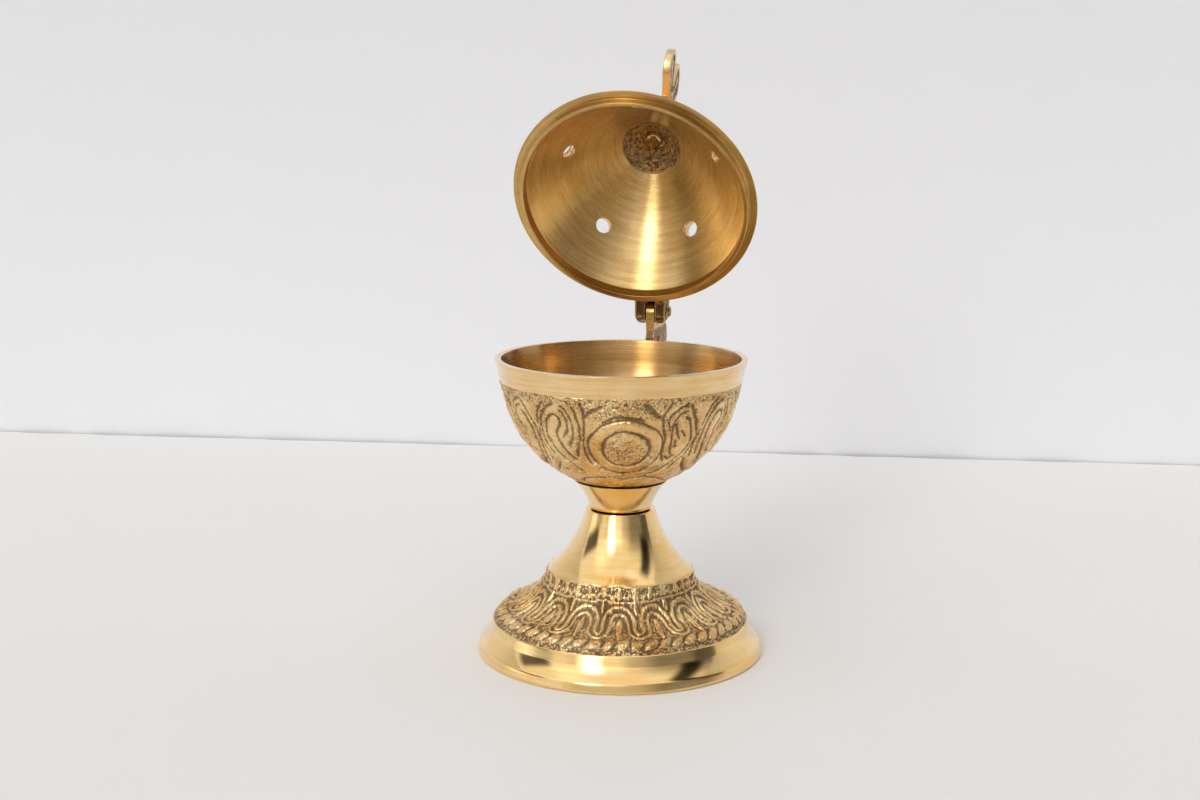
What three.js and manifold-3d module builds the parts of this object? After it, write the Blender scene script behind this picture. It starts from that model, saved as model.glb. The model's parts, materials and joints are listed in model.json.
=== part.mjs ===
// Standing censer in cast and turned brass, lid open. Millimetres, +Z up, the foot rests on z = 0.
// The lid hinges at the back (+Y). The origin lies on the ground under the middle of the open censer.
import * as THREE from 'three';
import { mergeVertices } from 'three/addons/utils/BufferGeometryUtils.js';
import Module from 'manifold-3d';

const wasm = await Module();
wasm.setup();

// Foot: a hollow casting, flange and band turned, dome left as cast, cone polished.
const footRadius = 37.5;
const footEdgeBreak = 0.4;
const flangeHeight = 2.5;
const flangeLean = 0.5;
const coveReach = 3.15;
const coveRise = 3.6;
const coveHollow = 0.18;
const bandTaper = 0.8;
const bandRise = 2.5;
const ropeStep = 3.75;
const ropeRise = 2.9;
const ropeBulge = 0.5;
const domeRise = 7.9;
const domeHollow = 1.5;
const collarRadius = 19.6;
const collarRise = 2.1;
const collarTaper = 0.3;
const collarStep = 0.4;
const coneTopRadius = 9.05;
const coneRise = 15.9;
const coneHollow = 1.5;
const footWall = 2.4;
const footCrown = 4.5;

// Neck: a turned spool between foot and bowl.
const neckFootRadius = 7.95;
const neckTopRadius = 12.2;
const neckHeight = 7.4;
const neckHollow = 0.5;

// Bowl: cast outside, turned band, lip and inside.
const bowlHeight = 31.72;
const bowlFloorRadius = 12;
const bowlRimRadius = 32.55;
const bowlLip = 1.65;
const bowlBandHeight = 5.75;
const bowlBandFlare = 1.45;
const bowlBulge = 4.5;
const bowlMouthDepth = 3.2;
const bowlMouthTaper = 0.5;
const bowlInnerBulge = 5.4;
const bowlFloorThickness = 3.9;
const bowlInnerFloorRadius = 10;

// Carving round the bowl's wall: medallions with a leaning drop on either side, cut as grooves.
const carvingUnits = 4;
const carvingTurn = 10.8;
const carvingDepth = 0.5;
const medallionShift = 2.5;
const medallionDrop = 14.4;
const medallionWidth = 13;
const medallionHeight = 11.3;
const medallionRing = 3;
const dropTurn = 35.2;
const dropTop = 2.6;
const dropWidth = 7.6;
const dropLength = 21.4;
const dropLean = 13;

// Lid: a low conical dome. Its heights are counted from the seat that meets the bowl's lip.
const lidInset = 0.1;
const lidEdgeReach = 0.95;
const lidEdgeHeight = 1.6;
const lidBulge = 1.1;
const lidCrownRadius = 9.6;
const lidCrownHeight = 28.4;
const lidCrownHollow = 0.4;
const lidTopRadius = 4.4;
const lidHeight = 33.8;
const spigotClearance = 0.7;
const spigotDepth = 2.2;
const spigotWall = 1.05;
const spigotBoreHeight = 0.8;
const lidInnerBulge = 1;
const lidInnerRadius = 8.25;
const lidInnerHeight = 26.8;
const studPocketHeight = 30.9;
const studPocketDepth = 1;
const studPocketRadius = 2.9;
const ventCount = 5;
const ventRadius = 2.15;
const ventPitchRadius = 20.7;
const ventFirstAngle = -16.5;

// Hinge: a fork on the lid, a bracket on the bowl and a pin between them.
const pinStandoff = 7.98;
const pinRise = 7.03;
const pinRadius = 1.2;
const pinHeadRadius = 1.75;
const pinHeadHeight = 0.8;
const pinClearance = 0.1;
const openAngle = 60.5;
const forkWidth = 8.6;
const forkBevel = 0.3;
const forkFront = 3.25;
const forkBack = 3.6;
const forkDrop = 3.45;
const earShoulder = 1.2;
const forkRise = 4.4;
const forkArmLength = 13.6;
const forkArmDepth = 10;
const forkEndRoundWidth = 1.7;
const forkEndRoundHeight = 2.9;
const tongueThickness = 2.2;
const tongueRadius = 3;
const slotClearance = 0.35;
const tongueDrop = 5;
const scrollWidth = 4.6;
const scrollClearance = 0.6;
const scrollReach = 10.5;
const scrollHeight = 11;
const scrollEyeRadius = 0.9;
const scrollEyeProud = 0.25;
const scrollEyeDrop = 8.2;
const leafWidth = 7;
const leafTipWidth = 5.6;
const leafThickness = 1.6;
const leafDrop = 1.5;
const leafLength = 15.8;
const rivetRadius = 1.45;
const rivetHeadRadius = 2.5;
const rivetHeadHeight = 1.2;
const rivetClearance = 0.15;
const rivetEdge = 3;
const rivetPitch = 5.2;

// Finial: a flared cross with a threaded stud that passes through the lid's top.
const studRadius = 2.3;
const studTailLength = 7.7;
const studPointLength = 3.9;
const finialCollarRadius = 4.1;
const finialCollarHeight = 2.7;
const finialCollarHollow = 0.5;
const finialStemRadius = 2.1;
const crossRise = 19;
const crossArm = 15.8;
const crossArmRootWidth = 7.8;
const crossArmEndWidth = 11.2;
const crossArmEndBulge = 3.9;
const crossThickness = 2.2;
const crossBevel = 0.3;
const crossTurn = 7.6;

// Stem bolt: it clamps foot, neck and bowl together.
const boltRadius = 2.5;
const boltHeadRadius = 4.75;
const boltHeadHeight = 2.8;
const boltHeadDome = 0.9;
const boltSlotWidth = 1.2;
const boltSlotDepth = 1.2;
const boltHoleClearance = 0.4;
const boltTail = 2.5;
const boltTipBreak = 0.5;
const washerRadius = 5;
const washerThickness = 1;
const nutAcrossFlats = 8;
const nutHeight = 4;

// Faceting, and the gap that neighbouring pieces keep.
const seatGap = 0.3;
const aroundBody = 56;
const aroundSmall = 20;
const arcSteps = 6;
const carvingSteps = 14;
const weld = 1e-4;

const brassPolished = { color: 0xd8ab55, roughness: 0.22, metalness: 1 };
const brassCast = { color: 0xb88a44, roughness: 0.5, metalness: 1 };
const brassDark = { color: 0x5c4128, roughness: 0.6, metalness: 0.9 };
const steelPlated = { color: 0xb9a26a, roughness: 0.35, metalness: 1 };

// Sizes that follow from the driving ones.
const bandFootRadius = footRadius - coveReach;
const bandTopRadius = bandFootRadius - bandTaper;
const ropeRadius = bandTopRadius - ropeStep;
const bandFootHeight = flangeHeight + coveRise;
const bandTopHeight = bandFootHeight + bandRise;
const ropeHeight = bandTopHeight + ropeRise;
const collarFootHeight = ropeHeight + domeRise;
const collarTopHeight = collarFootHeight + collarRise;
const coneFootHeight = collarTopHeight + collarTaper;
const footHeight = coneFootHeight + coneRise;
const footCeiling = footHeight - footCrown;
const neckFoot = footHeight + seatGap;
const neckTop = neckFoot + neckHeight;
const bowlFoot = neckTop + seatGap;
const bowlFloor = bowlFoot + bowlFloorThickness;
const rimHeight = bowlFoot + bowlHeight;
const bandFoot = rimHeight - bowlBandHeight;
const bowlMouthRadius = bowlRimRadius - bowlLip;
const bowlBandRadius = bowlRimRadius - bowlBandFlare;
const seatHeight = rimHeight + seatGap;
const pinHeight = rimHeight + pinRise;
const pinReach = bowlRimRadius + pinStandoff;
const leafTop = bandFoot - leafDrop;
const leafFoot = leafTop - leafLength;
const rivetHeights = [leafFoot + rivetEdge + rivetPitch, leafFoot + rivetEdge];
const lidRadius = bowlRimRadius - lidInset;
const boltHole = boltRadius + boltHoleClearance;
const pinBore = pinRadius + pinClearance;

const at = (r, z) => new THREE.Vector2(r, z);
const turned = (degrees) => THREE.MathUtils.degToRad(degrees);

// Centre and signed radius of the arc from a to b that stands off its chord by rise, to the right.
function arcCircle(a, b, rise) {
  const chord = b.clone().sub(a);
  const half = chord.length() / 2;
  const radius = (half * half + rise * rise) / (2 * rise);
  const right = at(chord.y, -chord.x).normalize();
  const centre = a.clone().add(b).multiplyScalar(0.5).addScaledVector(right, rise - radius);
  return { centre, radius, sweep: 2 * Math.asin(half / radius) };
}

// The arc's points from a up to, but without, b.
function arc(a, b, rise, steps = arcSteps) {
  const { centre, sweep } = arcCircle(a, b, rise);
  const points = [];
  for (let k = 0; k < steps; k += 1) {
    points.push(a.clone().rotateAround(centre, (sweep * k) / steps));
  }
  return points;
}

// Solid of revolution about Z. A profile runs up its outside and down its inside.
function revolve(profile, around = aroundBody) {
  const onAxis = profile[0].x === 0;
  const points = onAxis ? profile : [...profile, profile[0]];
  return new THREE.LatheGeometry(points, around).rotateX(Math.PI / 2);
}

// Plate whose outline is drawn in (y, z), centred on x = 0.
function plate(outline, width, bevel = 0) {
  const geometry = new THREE.ExtrudeGeometry(new THREE.Shape(outline), {
    depth: width - 2 * bevel,
    bevelEnabled: bevel > 0,
    bevelThickness: bevel,
    bevelSize: bevel,
    bevelOffset: -bevel,
    bevelSegments: 1,
  });
  geometry.translate(0, 0, bevel - width / 2);
  const toYZ = new THREE.Matrix4().makeBasis(
    new THREE.Vector3(0, 1, 0),
    new THREE.Vector3(0, 0, 1),
    new THREE.Vector3(1, 0, 0),
  );
  return geometry.applyMatrix4(toYZ);
}

// Block whose outline is drawn in (x, z), from the front y to the back y.
function block(shape, front, back) {
  const options = { depth: back - front, bevelEnabled: false, curveSegments: arcSteps };
  return new THREE.ExtrudeGeometry(shape, options).rotateX(Math.PI / 2).translate(0, back, 0);
}

// Closed circle of points.
function disc(centre, radius, steps = aroundSmall) {
  const points = [];
  for (let k = 0; k < steps; k += 1) {
    const angle = (2 * Math.PI * k) / steps;
    points.push(at(centre.x + radius * Math.cos(angle), centre.y + radius * Math.sin(angle)));
  }
  return points;
}

function toSolid(geometry) {
  const bare = geometry.clone();
  bare.deleteAttribute('normal');
  bare.deleteAttribute('uv');
  const merged = mergeVertices(bare, weld);
  const index = merged.index.array;
  const triVerts = [];
  for (let i = 0; i < index.length; i += 3) {
    const corners = [index[i], index[i + 1], index[i + 2]];
    if (new Set(corners).size === 3) triVerts.push(...corners);
  }
  return new wasm.Manifold(new wasm.Mesh({
    numProp: 3,
    vertProperties: new Float32Array(merged.attributes.position.array),
    triVerts: new Uint32Array(triVerts),
  }));
}

function toGeometry(solid) {
  const mesh = solid.getMesh();
  const geometry = new THREE.BufferGeometry();
  geometry.setAttribute('position', new THREE.BufferAttribute(new Float32Array(mesh.vertProperties), 3));
  geometry.setIndex(new THREE.BufferAttribute(new Uint32Array(mesh.triVerts), 1));
  geometry.computeVertexNormals();
  return geometry;
}

function join(geometries) {
  return geometries.map(toSolid).reduce((whole, next) => whole.add(next));
}

function cut(solid, tools) {
  return tools.map(toSolid).reduce((left, tool) => left.subtract(tool), solid);
}

// Rod along its own Z, from low to high.
function rod(radius, low, high, around = aroundSmall) {
  return revolve([at(0, low), at(radius, low), at(radius, high), at(0, high)], around);
}

// The same rod along X, through a point of (y, z).
function crossRod(radius, length, point) {
  return rod(radius, -length / 2, length / 2).rotateY(Math.PI / 2).translate(0, point.x, point.y);
}

function piece(name, shape, finish) {
  const geometry = shape.isBufferGeometry ? shape : toGeometry(shape);
  const mesh = new THREE.Mesh(geometry, new THREE.MeshStandardMaterial(finish));
  mesh.name = name;
  return mesh;
}

function makeFoot() {
  const flangeTop = at(footRadius - flangeLean, flangeHeight);
  const bandLow = at(bandFootRadius, bandFootHeight);
  const bandHigh = at(bandTopRadius, bandTopHeight);
  const rope = at(ropeRadius, ropeHeight);
  const collarLow = at(collarRadius, collarFootHeight);
  const coneLow = at(collarRadius - collarTaper - collarStep, coneFootHeight);
  const coneHigh = at(coneTopRadius, footHeight);
  const innerRope = at(ropeRadius - footWall / 2, ropeHeight - footWall);
  const innerCollar = at(collarRadius - footWall, collarFootHeight - footWall / 2);
  const innerConeLow = at(collarRadius - collarStep - footWall, coneFootHeight - footWall / 2);
  const innerConeHigh = at(coneTopRadius - footWall / 2, footCeiling);
  const innerSteps = arcSteps - 2;
  return revolve([
    at(footRadius - footEdgeBreak, 0),
    at(footRadius, footEdgeBreak),
    ...arc(flangeTop, bandLow, -coveHollow, 3),
    bandLow,
    ...arc(bandHigh, rope, ropeBulge, 2),
    ...arc(rope, collarLow, -domeHollow),
    collarLow,
    at(collarRadius - collarTaper, collarTopHeight),
    ...arc(coneLow, coneHigh, -coneHollow),
    coneHigh,
    at(boltHole, footHeight),
    at(boltHole, footCeiling),
    ...arc(innerConeHigh, innerConeLow, coneHollow, innerSteps),
    innerConeLow,
    ...arc(innerCollar, innerRope, domeHollow, innerSteps),
    innerRope,
    at(bandTopRadius - footWall, bandFootHeight),
    at(bandTopRadius, 0),
  ]);
}

function makeNeck() {
  const low = at(neckFootRadius, neckFoot);
  const high = at(neckTopRadius, neckTop);
  return revolve([
    ...arc(low, high, -neckHollow),
    high,
    at(boltHole, neckTop),
    at(boltHole, neckFoot),
  ]);
}

// The bowl's outside below its band, and its inside below the mouth.
const bowlOuterLow = at(bowlFloorRadius, bowlFoot);
const bowlOuterHigh = at(bowlBandRadius, bandFoot);
const bowlOuter = arcCircle(bowlOuterLow, bowlOuterHigh, bowlBulge);
const bowlInnerHigh = at(bowlMouthRadius - bowlMouthTaper, rimHeight - bowlMouthDepth);
const bowlInnerLow = at(bowlInnerFloorRadius, bowlFloor);
const bowlInner = arcCircle(bowlInnerHigh, bowlInnerLow, -bowlInnerBulge);
const bowlSteps = 2 * arcSteps;

// Where the rivet at a height leaves the bowl's outside, its tilt, and the wall it passes.
function rivetSeat(height) {
  const rise = height - bowlOuter.centre.y;
  const radius = bowlOuter.centre.x + Math.sqrt(bowlOuter.radius ** 2 - rise ** 2);
  const out = at(radius, height).sub(bowlOuter.centre).normalize();
  const fromInner = at(radius, height).sub(bowlInner.centre);
  const along = fromInner.dot(out);
  const reach = Math.sqrt(bowlInner.radius ** 2 - fromInner.lengthSq() + along ** 2);
  return { radius, height, tilt: Math.atan2(out.x, out.y), wall: along - reach };
}

function onRivetAxis(geometry, seat) {
  return geometry.rotateX(-seat.tilt).translate(0, seat.radius, seat.height);
}

function rivetHoles() {
  return rivetHeights.map((height) => {
    const seat = rivetSeat(height);
    const reach = seat.wall + leafThickness + 2 * rivetHeadHeight;
    return onRivetAxis(rod(rivetRadius + rivetClearance, -reach, reach), seat);
  });
}

function makeBowl() {
  const body = revolve([
    ...arc(bowlOuterLow, bowlOuterHigh, bowlBulge, bowlSteps),
    bowlOuterHigh,
    at(bowlRimRadius, rimHeight),
    at(bowlMouthRadius, rimHeight),
    ...arc(bowlInnerHigh, bowlInnerLow, -bowlInnerBulge, arcSteps + 2),
    bowlInnerLow,
    at(boltHole, bowlFloor),
    at(boltHole, bowlFoot),
  ]);
  return cut(toSolid(body), [...rivetHoles(), ...bowlCarving()]);
}

function makeRivet(height) {
  const seat = rivetSeat(height);
  const outerSeat = 2 * seatGap + leafThickness;
  const innerSeat = -seat.wall - 2 * seatGap;
  const crown = at(0, outerSeat + rivetHeadHeight);
  const shape = revolve([
    at(0, innerSeat - rivetHeadHeight),
    at(rivetRadius, innerSeat - rivetHeadHeight),
    at(rivetHeadRadius, innerSeat),
    at(rivetRadius, innerSeat),
    at(rivetRadius, outerSeat),
    ...arc(at(rivetHeadRadius, outerSeat), crown, rivetHeadHeight / 3, 3),
    crown,
  ], 16);
  return onRivetAxis(shape, seat);
}

// The wall's radius and height at a way down along it from the band.
function wallSpot(down) {
  return bowlOuterHigh.clone().rotateAround(bowlOuter.centre, -down / bowlOuter.radius);
}

// Spot on the bowl's wall: an angle from the front towards +X, and a way down from the band.
function onWall(degrees, down) {
  const spot = wallSpot(down);
  const around = turned(degrees) - Math.PI / 2;
  return new THREE.Vector3(spot.x * Math.cos(around), spot.x * Math.sin(around), spot.y);
}

// Cutter for a closed groove through spots on the wall.
function groove(spots) {
  const path = new THREE.CatmullRomCurve3(spots, true);
  return new THREE.TubeGeometry(path, carvingSteps, carvingDepth, 4, true);
}

function roundAngles(count) {
  return Array.from({ length: count }, (_, index) => (2 * Math.PI * index) / count);
}

function ovalGroove(middle, width, height) {
  const perMillimetre = THREE.MathUtils.radToDeg(1 / wallSpot(medallionDrop).x);
  return groove(roundAngles(12).map((t) => onWall(
    middle + (width / 2) * Math.cos(t) * perMillimetre,
    medallionDrop + (height / 2) * Math.sin(t),
  )));
}

// Drop with a round top and a pointed foot that leans towards the medallion.
function dropGroove(middle, side) {
  const fullest = 0.77;
  const perMillimetre = THREE.MathUtils.radToDeg(1 / wallSpot(medallionDrop).x);
  return groove(roundAngles(14).map((t) => {
    const down = (1 - Math.cos(t)) / 2;
    const across = ((dropWidth / 2) * Math.sin(t) * Math.cos(t / 2) * Math.sign(Math.PI - t)) / fullest;
    const lean = dropTurn - dropLean * down * down;
    return onWall(middle + side * lean + across * perMillimetre, dropTop + dropLength * down);
  }));
}

function bowlCarving() {
  return Array.from({ length: carvingUnits }, (_, index) => {
    const middle = carvingTurn + (360 * index) / carvingUnits;
    const medallion = middle + medallionShift;
    return [
      ovalGroove(medallion, medallionWidth, medallionHeight),
      ovalGroove(medallion, medallionWidth + 2 * medallionRing, medallionHeight + 2 * medallionRing),
      dropGroove(middle, -1),
      dropGroove(middle, 1),
    ];
  }).flat();
}

// The bowl's outside grown by a distance, as a solid that a neighbour is cut with.
function bowlEnvelope(grow) {
  const scale = 1 + grow / bowlOuter.radius;
  const low = bowlOuterLow.clone().sub(bowlOuter.centre).multiplyScalar(scale).add(bowlOuter.centre);
  const high = bowlOuterHigh.clone().sub(bowlOuter.centre).multiplyScalar(scale).add(bowlOuter.centre);
  return revolve([
    at(0, low.y),
    ...arc(low, high, bowlBulge * scale, bowlSteps),
    at(bowlBandRadius + grow, bandFoot),
    at(bowlRimRadius + grow, rimHeight + grow),
    at(0, rimHeight + grow),
  ]);
}

// Leaf that lies on the bowl's wall under the scroll.
function makeLeaf() {
  const half = leafWidth / 2;
  const tip = leafTipWidth / 2;
  const tipHeight = leafFoot + tip;
  const leaf = new THREE.Shape();
  leaf.moveTo(-half, leafTop);
  leaf.lineTo(-half, tipHeight + tip);
  leaf.lineTo(-tip, tipHeight);
  leaf.absarc(0, tipHeight, tip, Math.PI, 2 * Math.PI);
  leaf.lineTo(half, tipHeight + tip);
  leaf.lineTo(half, leafTop);
  const skin = toSolid(bowlEnvelope(seatGap + leafThickness));
  return skin.intersect(toSolid(block(leaf, bowlFloorRadius, pinReach)));
}

// Plan of the casting: as thick as the tongue in front, widening towards the scroll's back.
function makeWedge() {
  const thin = tongueThickness / 2;
  const wide = scrollWidth / 2;
  const front = pinReach - tongueRadius;
  const back = pinReach + scrollReach;
  const plan = new THREE.Shape([
    at(thin, 0),
    at(thin, front),
    at(wide, back),
    at(-wide, back),
    at(-thin, front),
    at(-thin, 0),
  ]);
  return new THREE.ExtrudeGeometry(plan, { depth: pinHeight, bevelEnabled: false });
}

// Tongue, scroll and leaf in one casting. The tongue stands in the fork and turns on the pin.
function makeBracket() {
  const fromPin = (y, z) => at(pinReach + y, pinHeight + z);
  const front = -tongueRadius;
  const leafFace = bowlBandRadius + leafThickness - pinReach;
  const leafRise = leafTop - pinHeight;
  const scrollTop = -forkDrop - scrollClearance;
  const tongue = [
    fromPin(front, 0),
    fromPin(front, scrollTop - tongueRadius),
    fromPin(tongueRadius, scrollTop - tongueRadius),
    fromPin(tongueRadius, 0),
  ];
  const onScroll = (along, down) => (
    fromPin(along * scrollReach, scrollTop - down * scrollHeight)
  );
  const back = new THREE.SplineCurve([
    onScroll(0.24, 0),
    onScroll(0.71, -0.055),
    onScroll(0.92, 0.07),
    onScroll(1, 0.31),
    onScroll(0.905, 0.62),
    onScroll(0.62, 0.87),
    onScroll(0.29, 0.945),
    fromPin(front, scrollTop - scrollHeight),
  ]).getPoints(bowlSteps + arcSteps);
  const scroll = [
    ...back,
    fromPin(leafFace, leafRise - leafWidth / 2),
    fromPin(leafFace - 2 * leafThickness, leafRise - leafWidth / 2),
    fromPin(leafFace - 2 * leafThickness, leafRise),
    fromPin(leafFace - seatGap, leafRise + leafDrop),
    fromPin(front - seatGap, -pinRise),
    fromPin(front, -tongueDrop),
    fromPin(front, scrollTop),
  ];
  const eye = fromPin(0.24 * scrollReach, -scrollEyeDrop);
  const eyeWidth = (tongueThickness + scrollWidth) / 2 + 2 * scrollEyeProud;
  const body = toSolid(plate(scroll, scrollWidth)).intersect(toSolid(makeWedge()));
  const casting = body.add(makeLeaf()).add(join([
    plate(tongue, tongueThickness),
    plate(disc(fromPin(0, 0), tongueRadius), tongueThickness),
    crossRod(scrollEyeRadius, eyeWidth, eye),
  ]));
  const bore = crossRod(pinBore, 2 * forkWidth, fromPin(0, 0));
  return cut(casting, [bore, bowlEnvelope(seatGap), ...rivetHoles()]);
}

// The lid's outside grown by a distance, as a solid that a neighbour is cut with.
function lidEnvelope(grow) {
  const crown = at(lidCrownRadius + grow, lidCrownHeight + grow);
  return revolve([
    at(0, -grow),
    at(lidRadius + grow, -grow),
    at(lidRadius + grow, 0),
    ...arc(at(lidRadius - lidEdgeReach + grow, lidEdgeHeight + grow), crown, lidBulge, bowlSteps),
    crown,
    at(0, lidHeight + grow),
  ]);
}

function makeLid() {
  const edge = at(lidRadius - lidEdgeReach, lidEdgeHeight);
  const crown = at(lidCrownRadius, lidCrownHeight);
  const spigotRadius = bowlMouthRadius - spigotClearance;
  const spigotBore = spigotRadius - spigotWall;
  const innerLow = at(spigotBore, spigotBoreHeight);
  const innerHigh = at(lidInnerRadius, lidInnerHeight);
  const inner = arcCircle(innerHigh, innerLow, -lidInnerBulge);
  const studHole = studRadius + seatGap;
  const body = revolve([
    at(lidRadius, 0),
    ...arc(edge, crown, lidBulge, arcSteps + 2),
    ...arc(crown, at(lidTopRadius, lidHeight), -lidCrownHollow, 3),
    at(lidTopRadius, lidHeight),
    at(studHole, lidHeight),
    at(studHole, studPocketHeight + studPocketDepth),
    at(studPocketRadius, studPocketHeight + studPocketDepth),
    at(studPocketRadius, studPocketHeight),
    ...arc(innerHigh, innerLow, -lidInnerBulge, arcSteps),
    innerLow,
    at(spigotBore, -spigotDepth),
    at(spigotRadius, -spigotDepth),
    at(spigotRadius, 0),
  ]);
  const rise = Math.sqrt(inner.radius ** 2 - (ventPitchRadius - inner.centre.x) ** 2);
  const vent = at(ventPitchRadius, inner.centre.y + rise);
  const out = vent.clone().sub(inner.centre);
  const vents = Array.from({ length: ventCount }, (_, index) => (
    rod(ventRadius, -lidEdgeHeight - ventRadius, 3 * ventRadius)
      .rotateY(Math.atan2(out.x, out.y))
      .translate(vent.x, 0, vent.y)
      .rotateZ(turned(ventFirstAngle + (360 * index) / ventCount))
  ));
  return cut(toSolid(body), vents);
}

// Turns a shape that is drawn about the pin, with the lid open, into the lid's own frame.
function ontoLid(geometry) {
  return geometry.rotateX(turned(openAngle)).translate(0, pinReach, pinRise - seatGap);
}

// Fork in one casting: an arm against the lid's wall and two ears that the pin passes.
function makeFork() {
  const half = forkWidth / 2;
  const armBack = forkArmLength * Math.sin(turned(openAngle) / 4);
  const arm = [
    ...arc(at(forkBack, -earShoulder), at(-forkFront, -earShoulder), earShoulder - forkDrop),
    at(-forkFront, -earShoulder),
    at(-forkFront, forkRise),
    at(-forkArmDepth, forkRise + 1),
    at(-forkArmDepth, forkArmLength),
    at(-armBack, forkArmLength),
    at(forkBack - earShoulder / 2, forkRise + 1),
    at(forkBack, earShoulder),
  ];
  const ends = new THREE.Shape();
  const corner = half - forkEndRoundWidth;
  const cornerHeight = forkEndRoundHeight - forkDrop;
  ends.moveTo(half, 2 * forkArmLength);
  ends.lineTo(-half, 2 * forkArmLength);
  ends.absellipse(-corner, cornerHeight, forkEndRoundWidth, forkEndRoundHeight, Math.PI, 1.5 * Math.PI);
  ends.absellipse(corner, cornerHeight, forkEndRoundWidth, forkEndRoundHeight, 1.5 * Math.PI, 2 * Math.PI);
  const blank = toSolid(plate(arm, forkWidth, forkBevel))
    .intersect(toSolid(block(ends, -lidRadius, lidRadius)));
  const slotWidth = tongueThickness + 2 * slotClearance;
  const slotRadius = tongueRadius + slotClearance + pinClearance;
  const slot = [
    at(-lidRadius, slotRadius),
    at(0, slotRadius),
    at(lidRadius, slotRadius / 2),
    at(lidRadius, -lidRadius),
    at(-lidRadius, -lidRadius),
  ];
  const ears = cut(blank, [
    plate(slot, slotWidth),
    plate(disc(at(0, 0), slotRadius), slotWidth),
    crossRod(pinBore, 2 * forkWidth, at(0, 0)),
  ]);
  return cut(toSolid(ontoLid(toGeometry(ears))), [lidEnvelope(seatGap)]);
}

// Pin with a peened head on one ear, filed flush with the other.
function makePin() {
  const half = forkWidth / 2;
  const seat = half + seatGap / 2;
  const pin = revolve([
    at(0, -half),
    at(pinRadius, -half),
    at(pinRadius, seat),
    at(pinHeadRadius, seat),
    at(pinRadius, seat + pinHeadHeight),
    at(0, seat + pinHeadHeight),
  ], aroundSmall);
  return ontoLid(pin.rotateY(Math.PI / 2));
}

// Outline of the cross about its own middle: four arms that widen to bowed ends.
function crossOutline() {
  const root = crossArmRootWidth / 2;
  const end = crossArmEndWidth / 2;
  const endReach = crossArm - crossArmEndBulge;
  const outline = [];
  for (let k = 0; k < 4; k += 1) {
    const arm = [
      ...arc(at(endReach, -end), at(endReach, end), crossArmEndBulge),
      at(endReach, end),
      at(root, root),
    ];
    outline.push(...arm.map((point) => point.rotateAround(at(0, 0), (k * Math.PI) / 2)));
  }
  return outline;
}

function makeFinial() {
  const seat = lidHeight + seatGap;
  const tail = lidHeight - studTailLength;
  const collarTop = seat + finialCollarHeight;
  const crossHeight = lidHeight + crossRise;
  const armFoot = crossHeight - crossArm;
  const spindle = revolve([
    at(0, tail + studPointLength - seatGap),
    at(studRadius, tail + studPointLength - seatGap),
    at(studRadius, seat),
    at(finialCollarRadius, seat),
    ...arc(at(finialCollarRadius, seat + seatGap), at(finialStemRadius, collarTop), -finialCollarHollow),
    at(finialStemRadius, collarTop),
    at(crossThickness / 2, armFoot + 2 * crossThickness),
    at(0, armFoot + 2 * crossThickness),
  ], aroundSmall);
  const point = new THREE.ConeGeometry(studRadius - seatGap / 3, studPointLength, 4);
  point.rotateX(-Math.PI / 2).translate(0, 0, tail + studPointLength / 2);
  const cross = plate(crossOutline(), crossThickness, crossBevel).translate(0, 0, crossHeight);
  return toGeometry(join([spindle, point, cross])).rotateZ(turned(crossTurn));
}

function makeStemBolt() {
  const seat = bowlFloor + seatGap;
  const top = seat + boltHeadHeight;
  const tail = footCeiling - 3 * seatGap - washerThickness - nutHeight - boltTail;
  const blank = revolve([
    at(0, tail),
    at(boltRadius - boltTipBreak, tail),
    at(boltRadius, tail + boltTipBreak),
    at(boltRadius, seat),
    at(boltHeadRadius, seat),
    ...arc(at(boltHeadRadius, top - boltHeadDome), at(0, top), boltHeadDome / 2, 3),
    at(0, top),
  ], aroundSmall);
  const slot = new THREE.BoxGeometry(boltSlotWidth, 3 * boltHeadRadius, 2 * boltSlotDepth);
  return cut(toSolid(blank), [slot.translate(0, 0, top)]);
}

function makeWasher() {
  const top = footCeiling - seatGap;
  return revolve([
    at(washerRadius, top - washerThickness),
    at(washerRadius, top),
    at(boltHole, top),
    at(boltHole, top - washerThickness),
  ], aroundSmall);
}

function makeNut() {
  const top = footCeiling - 2 * seatGap - washerThickness;
  const hexagon = new THREE.Shape(disc(at(0, 0), nutAcrossFlats / Math.sqrt(3), 6));
  hexagon.holes.push(new THREE.Path().absarc(0, 0, boltHole, 0, 2 * Math.PI, true));
  const options = { depth: nutHeight, bevelEnabled: false, curveSegments: aroundSmall / 2 };
  return new THREE.ExtrudeGeometry(hexagon, options).translate(0, 0, top - nutHeight);
}

const censer = new THREE.Group();
censer.add(
  piece('foot', makeFoot(), brassPolished),
  piece('neck', makeNeck(), brassPolished),
  piece('bowl', makeBowl(), brassCast),
  piece('bowl_hinge_bracket', makeBracket(), brassDark),
  piece('bracket_rivet_upper', makeRivet(rivetHeights[0]), brassDark),
  piece('bracket_rivet_lower', makeRivet(rivetHeights[1]), brassDark),
  piece('stem_bolt', makeStemBolt(), steelPlated),
  piece('stem_washer', makeWasher(), steelPlated),
  piece('stem_nut', makeNut(), steelPlated),
);

// The lid and what is on it swing about the pin. Inside, heights are counted from the seat.
const lidPieces = new THREE.Group();
lidPieces.position.set(0, -pinReach, seatHeight - pinHeight);
lidPieces.add(
  piece('lid', makeLid(), brassCast),
  piece('lid_hinge_fork', makeFork(), brassDark),
  piece('hinge_pin', makePin(), brassDark),
  piece('finial_cross', makeFinial(), brassCast),
);
const swing = new THREE.Group();
swing.position.set(0, pinReach, pinHeight);
swing.rotation.x = -turned(openAngle);
swing.add(lidPieces);
censer.add(swing);

// The origin goes under the middle of the open censer.
const extent = new THREE.Box3().setFromObject(censer, true);
censer.position.y = -(extent.min.y + extent.max.y) / 2;

export default censer;
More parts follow.
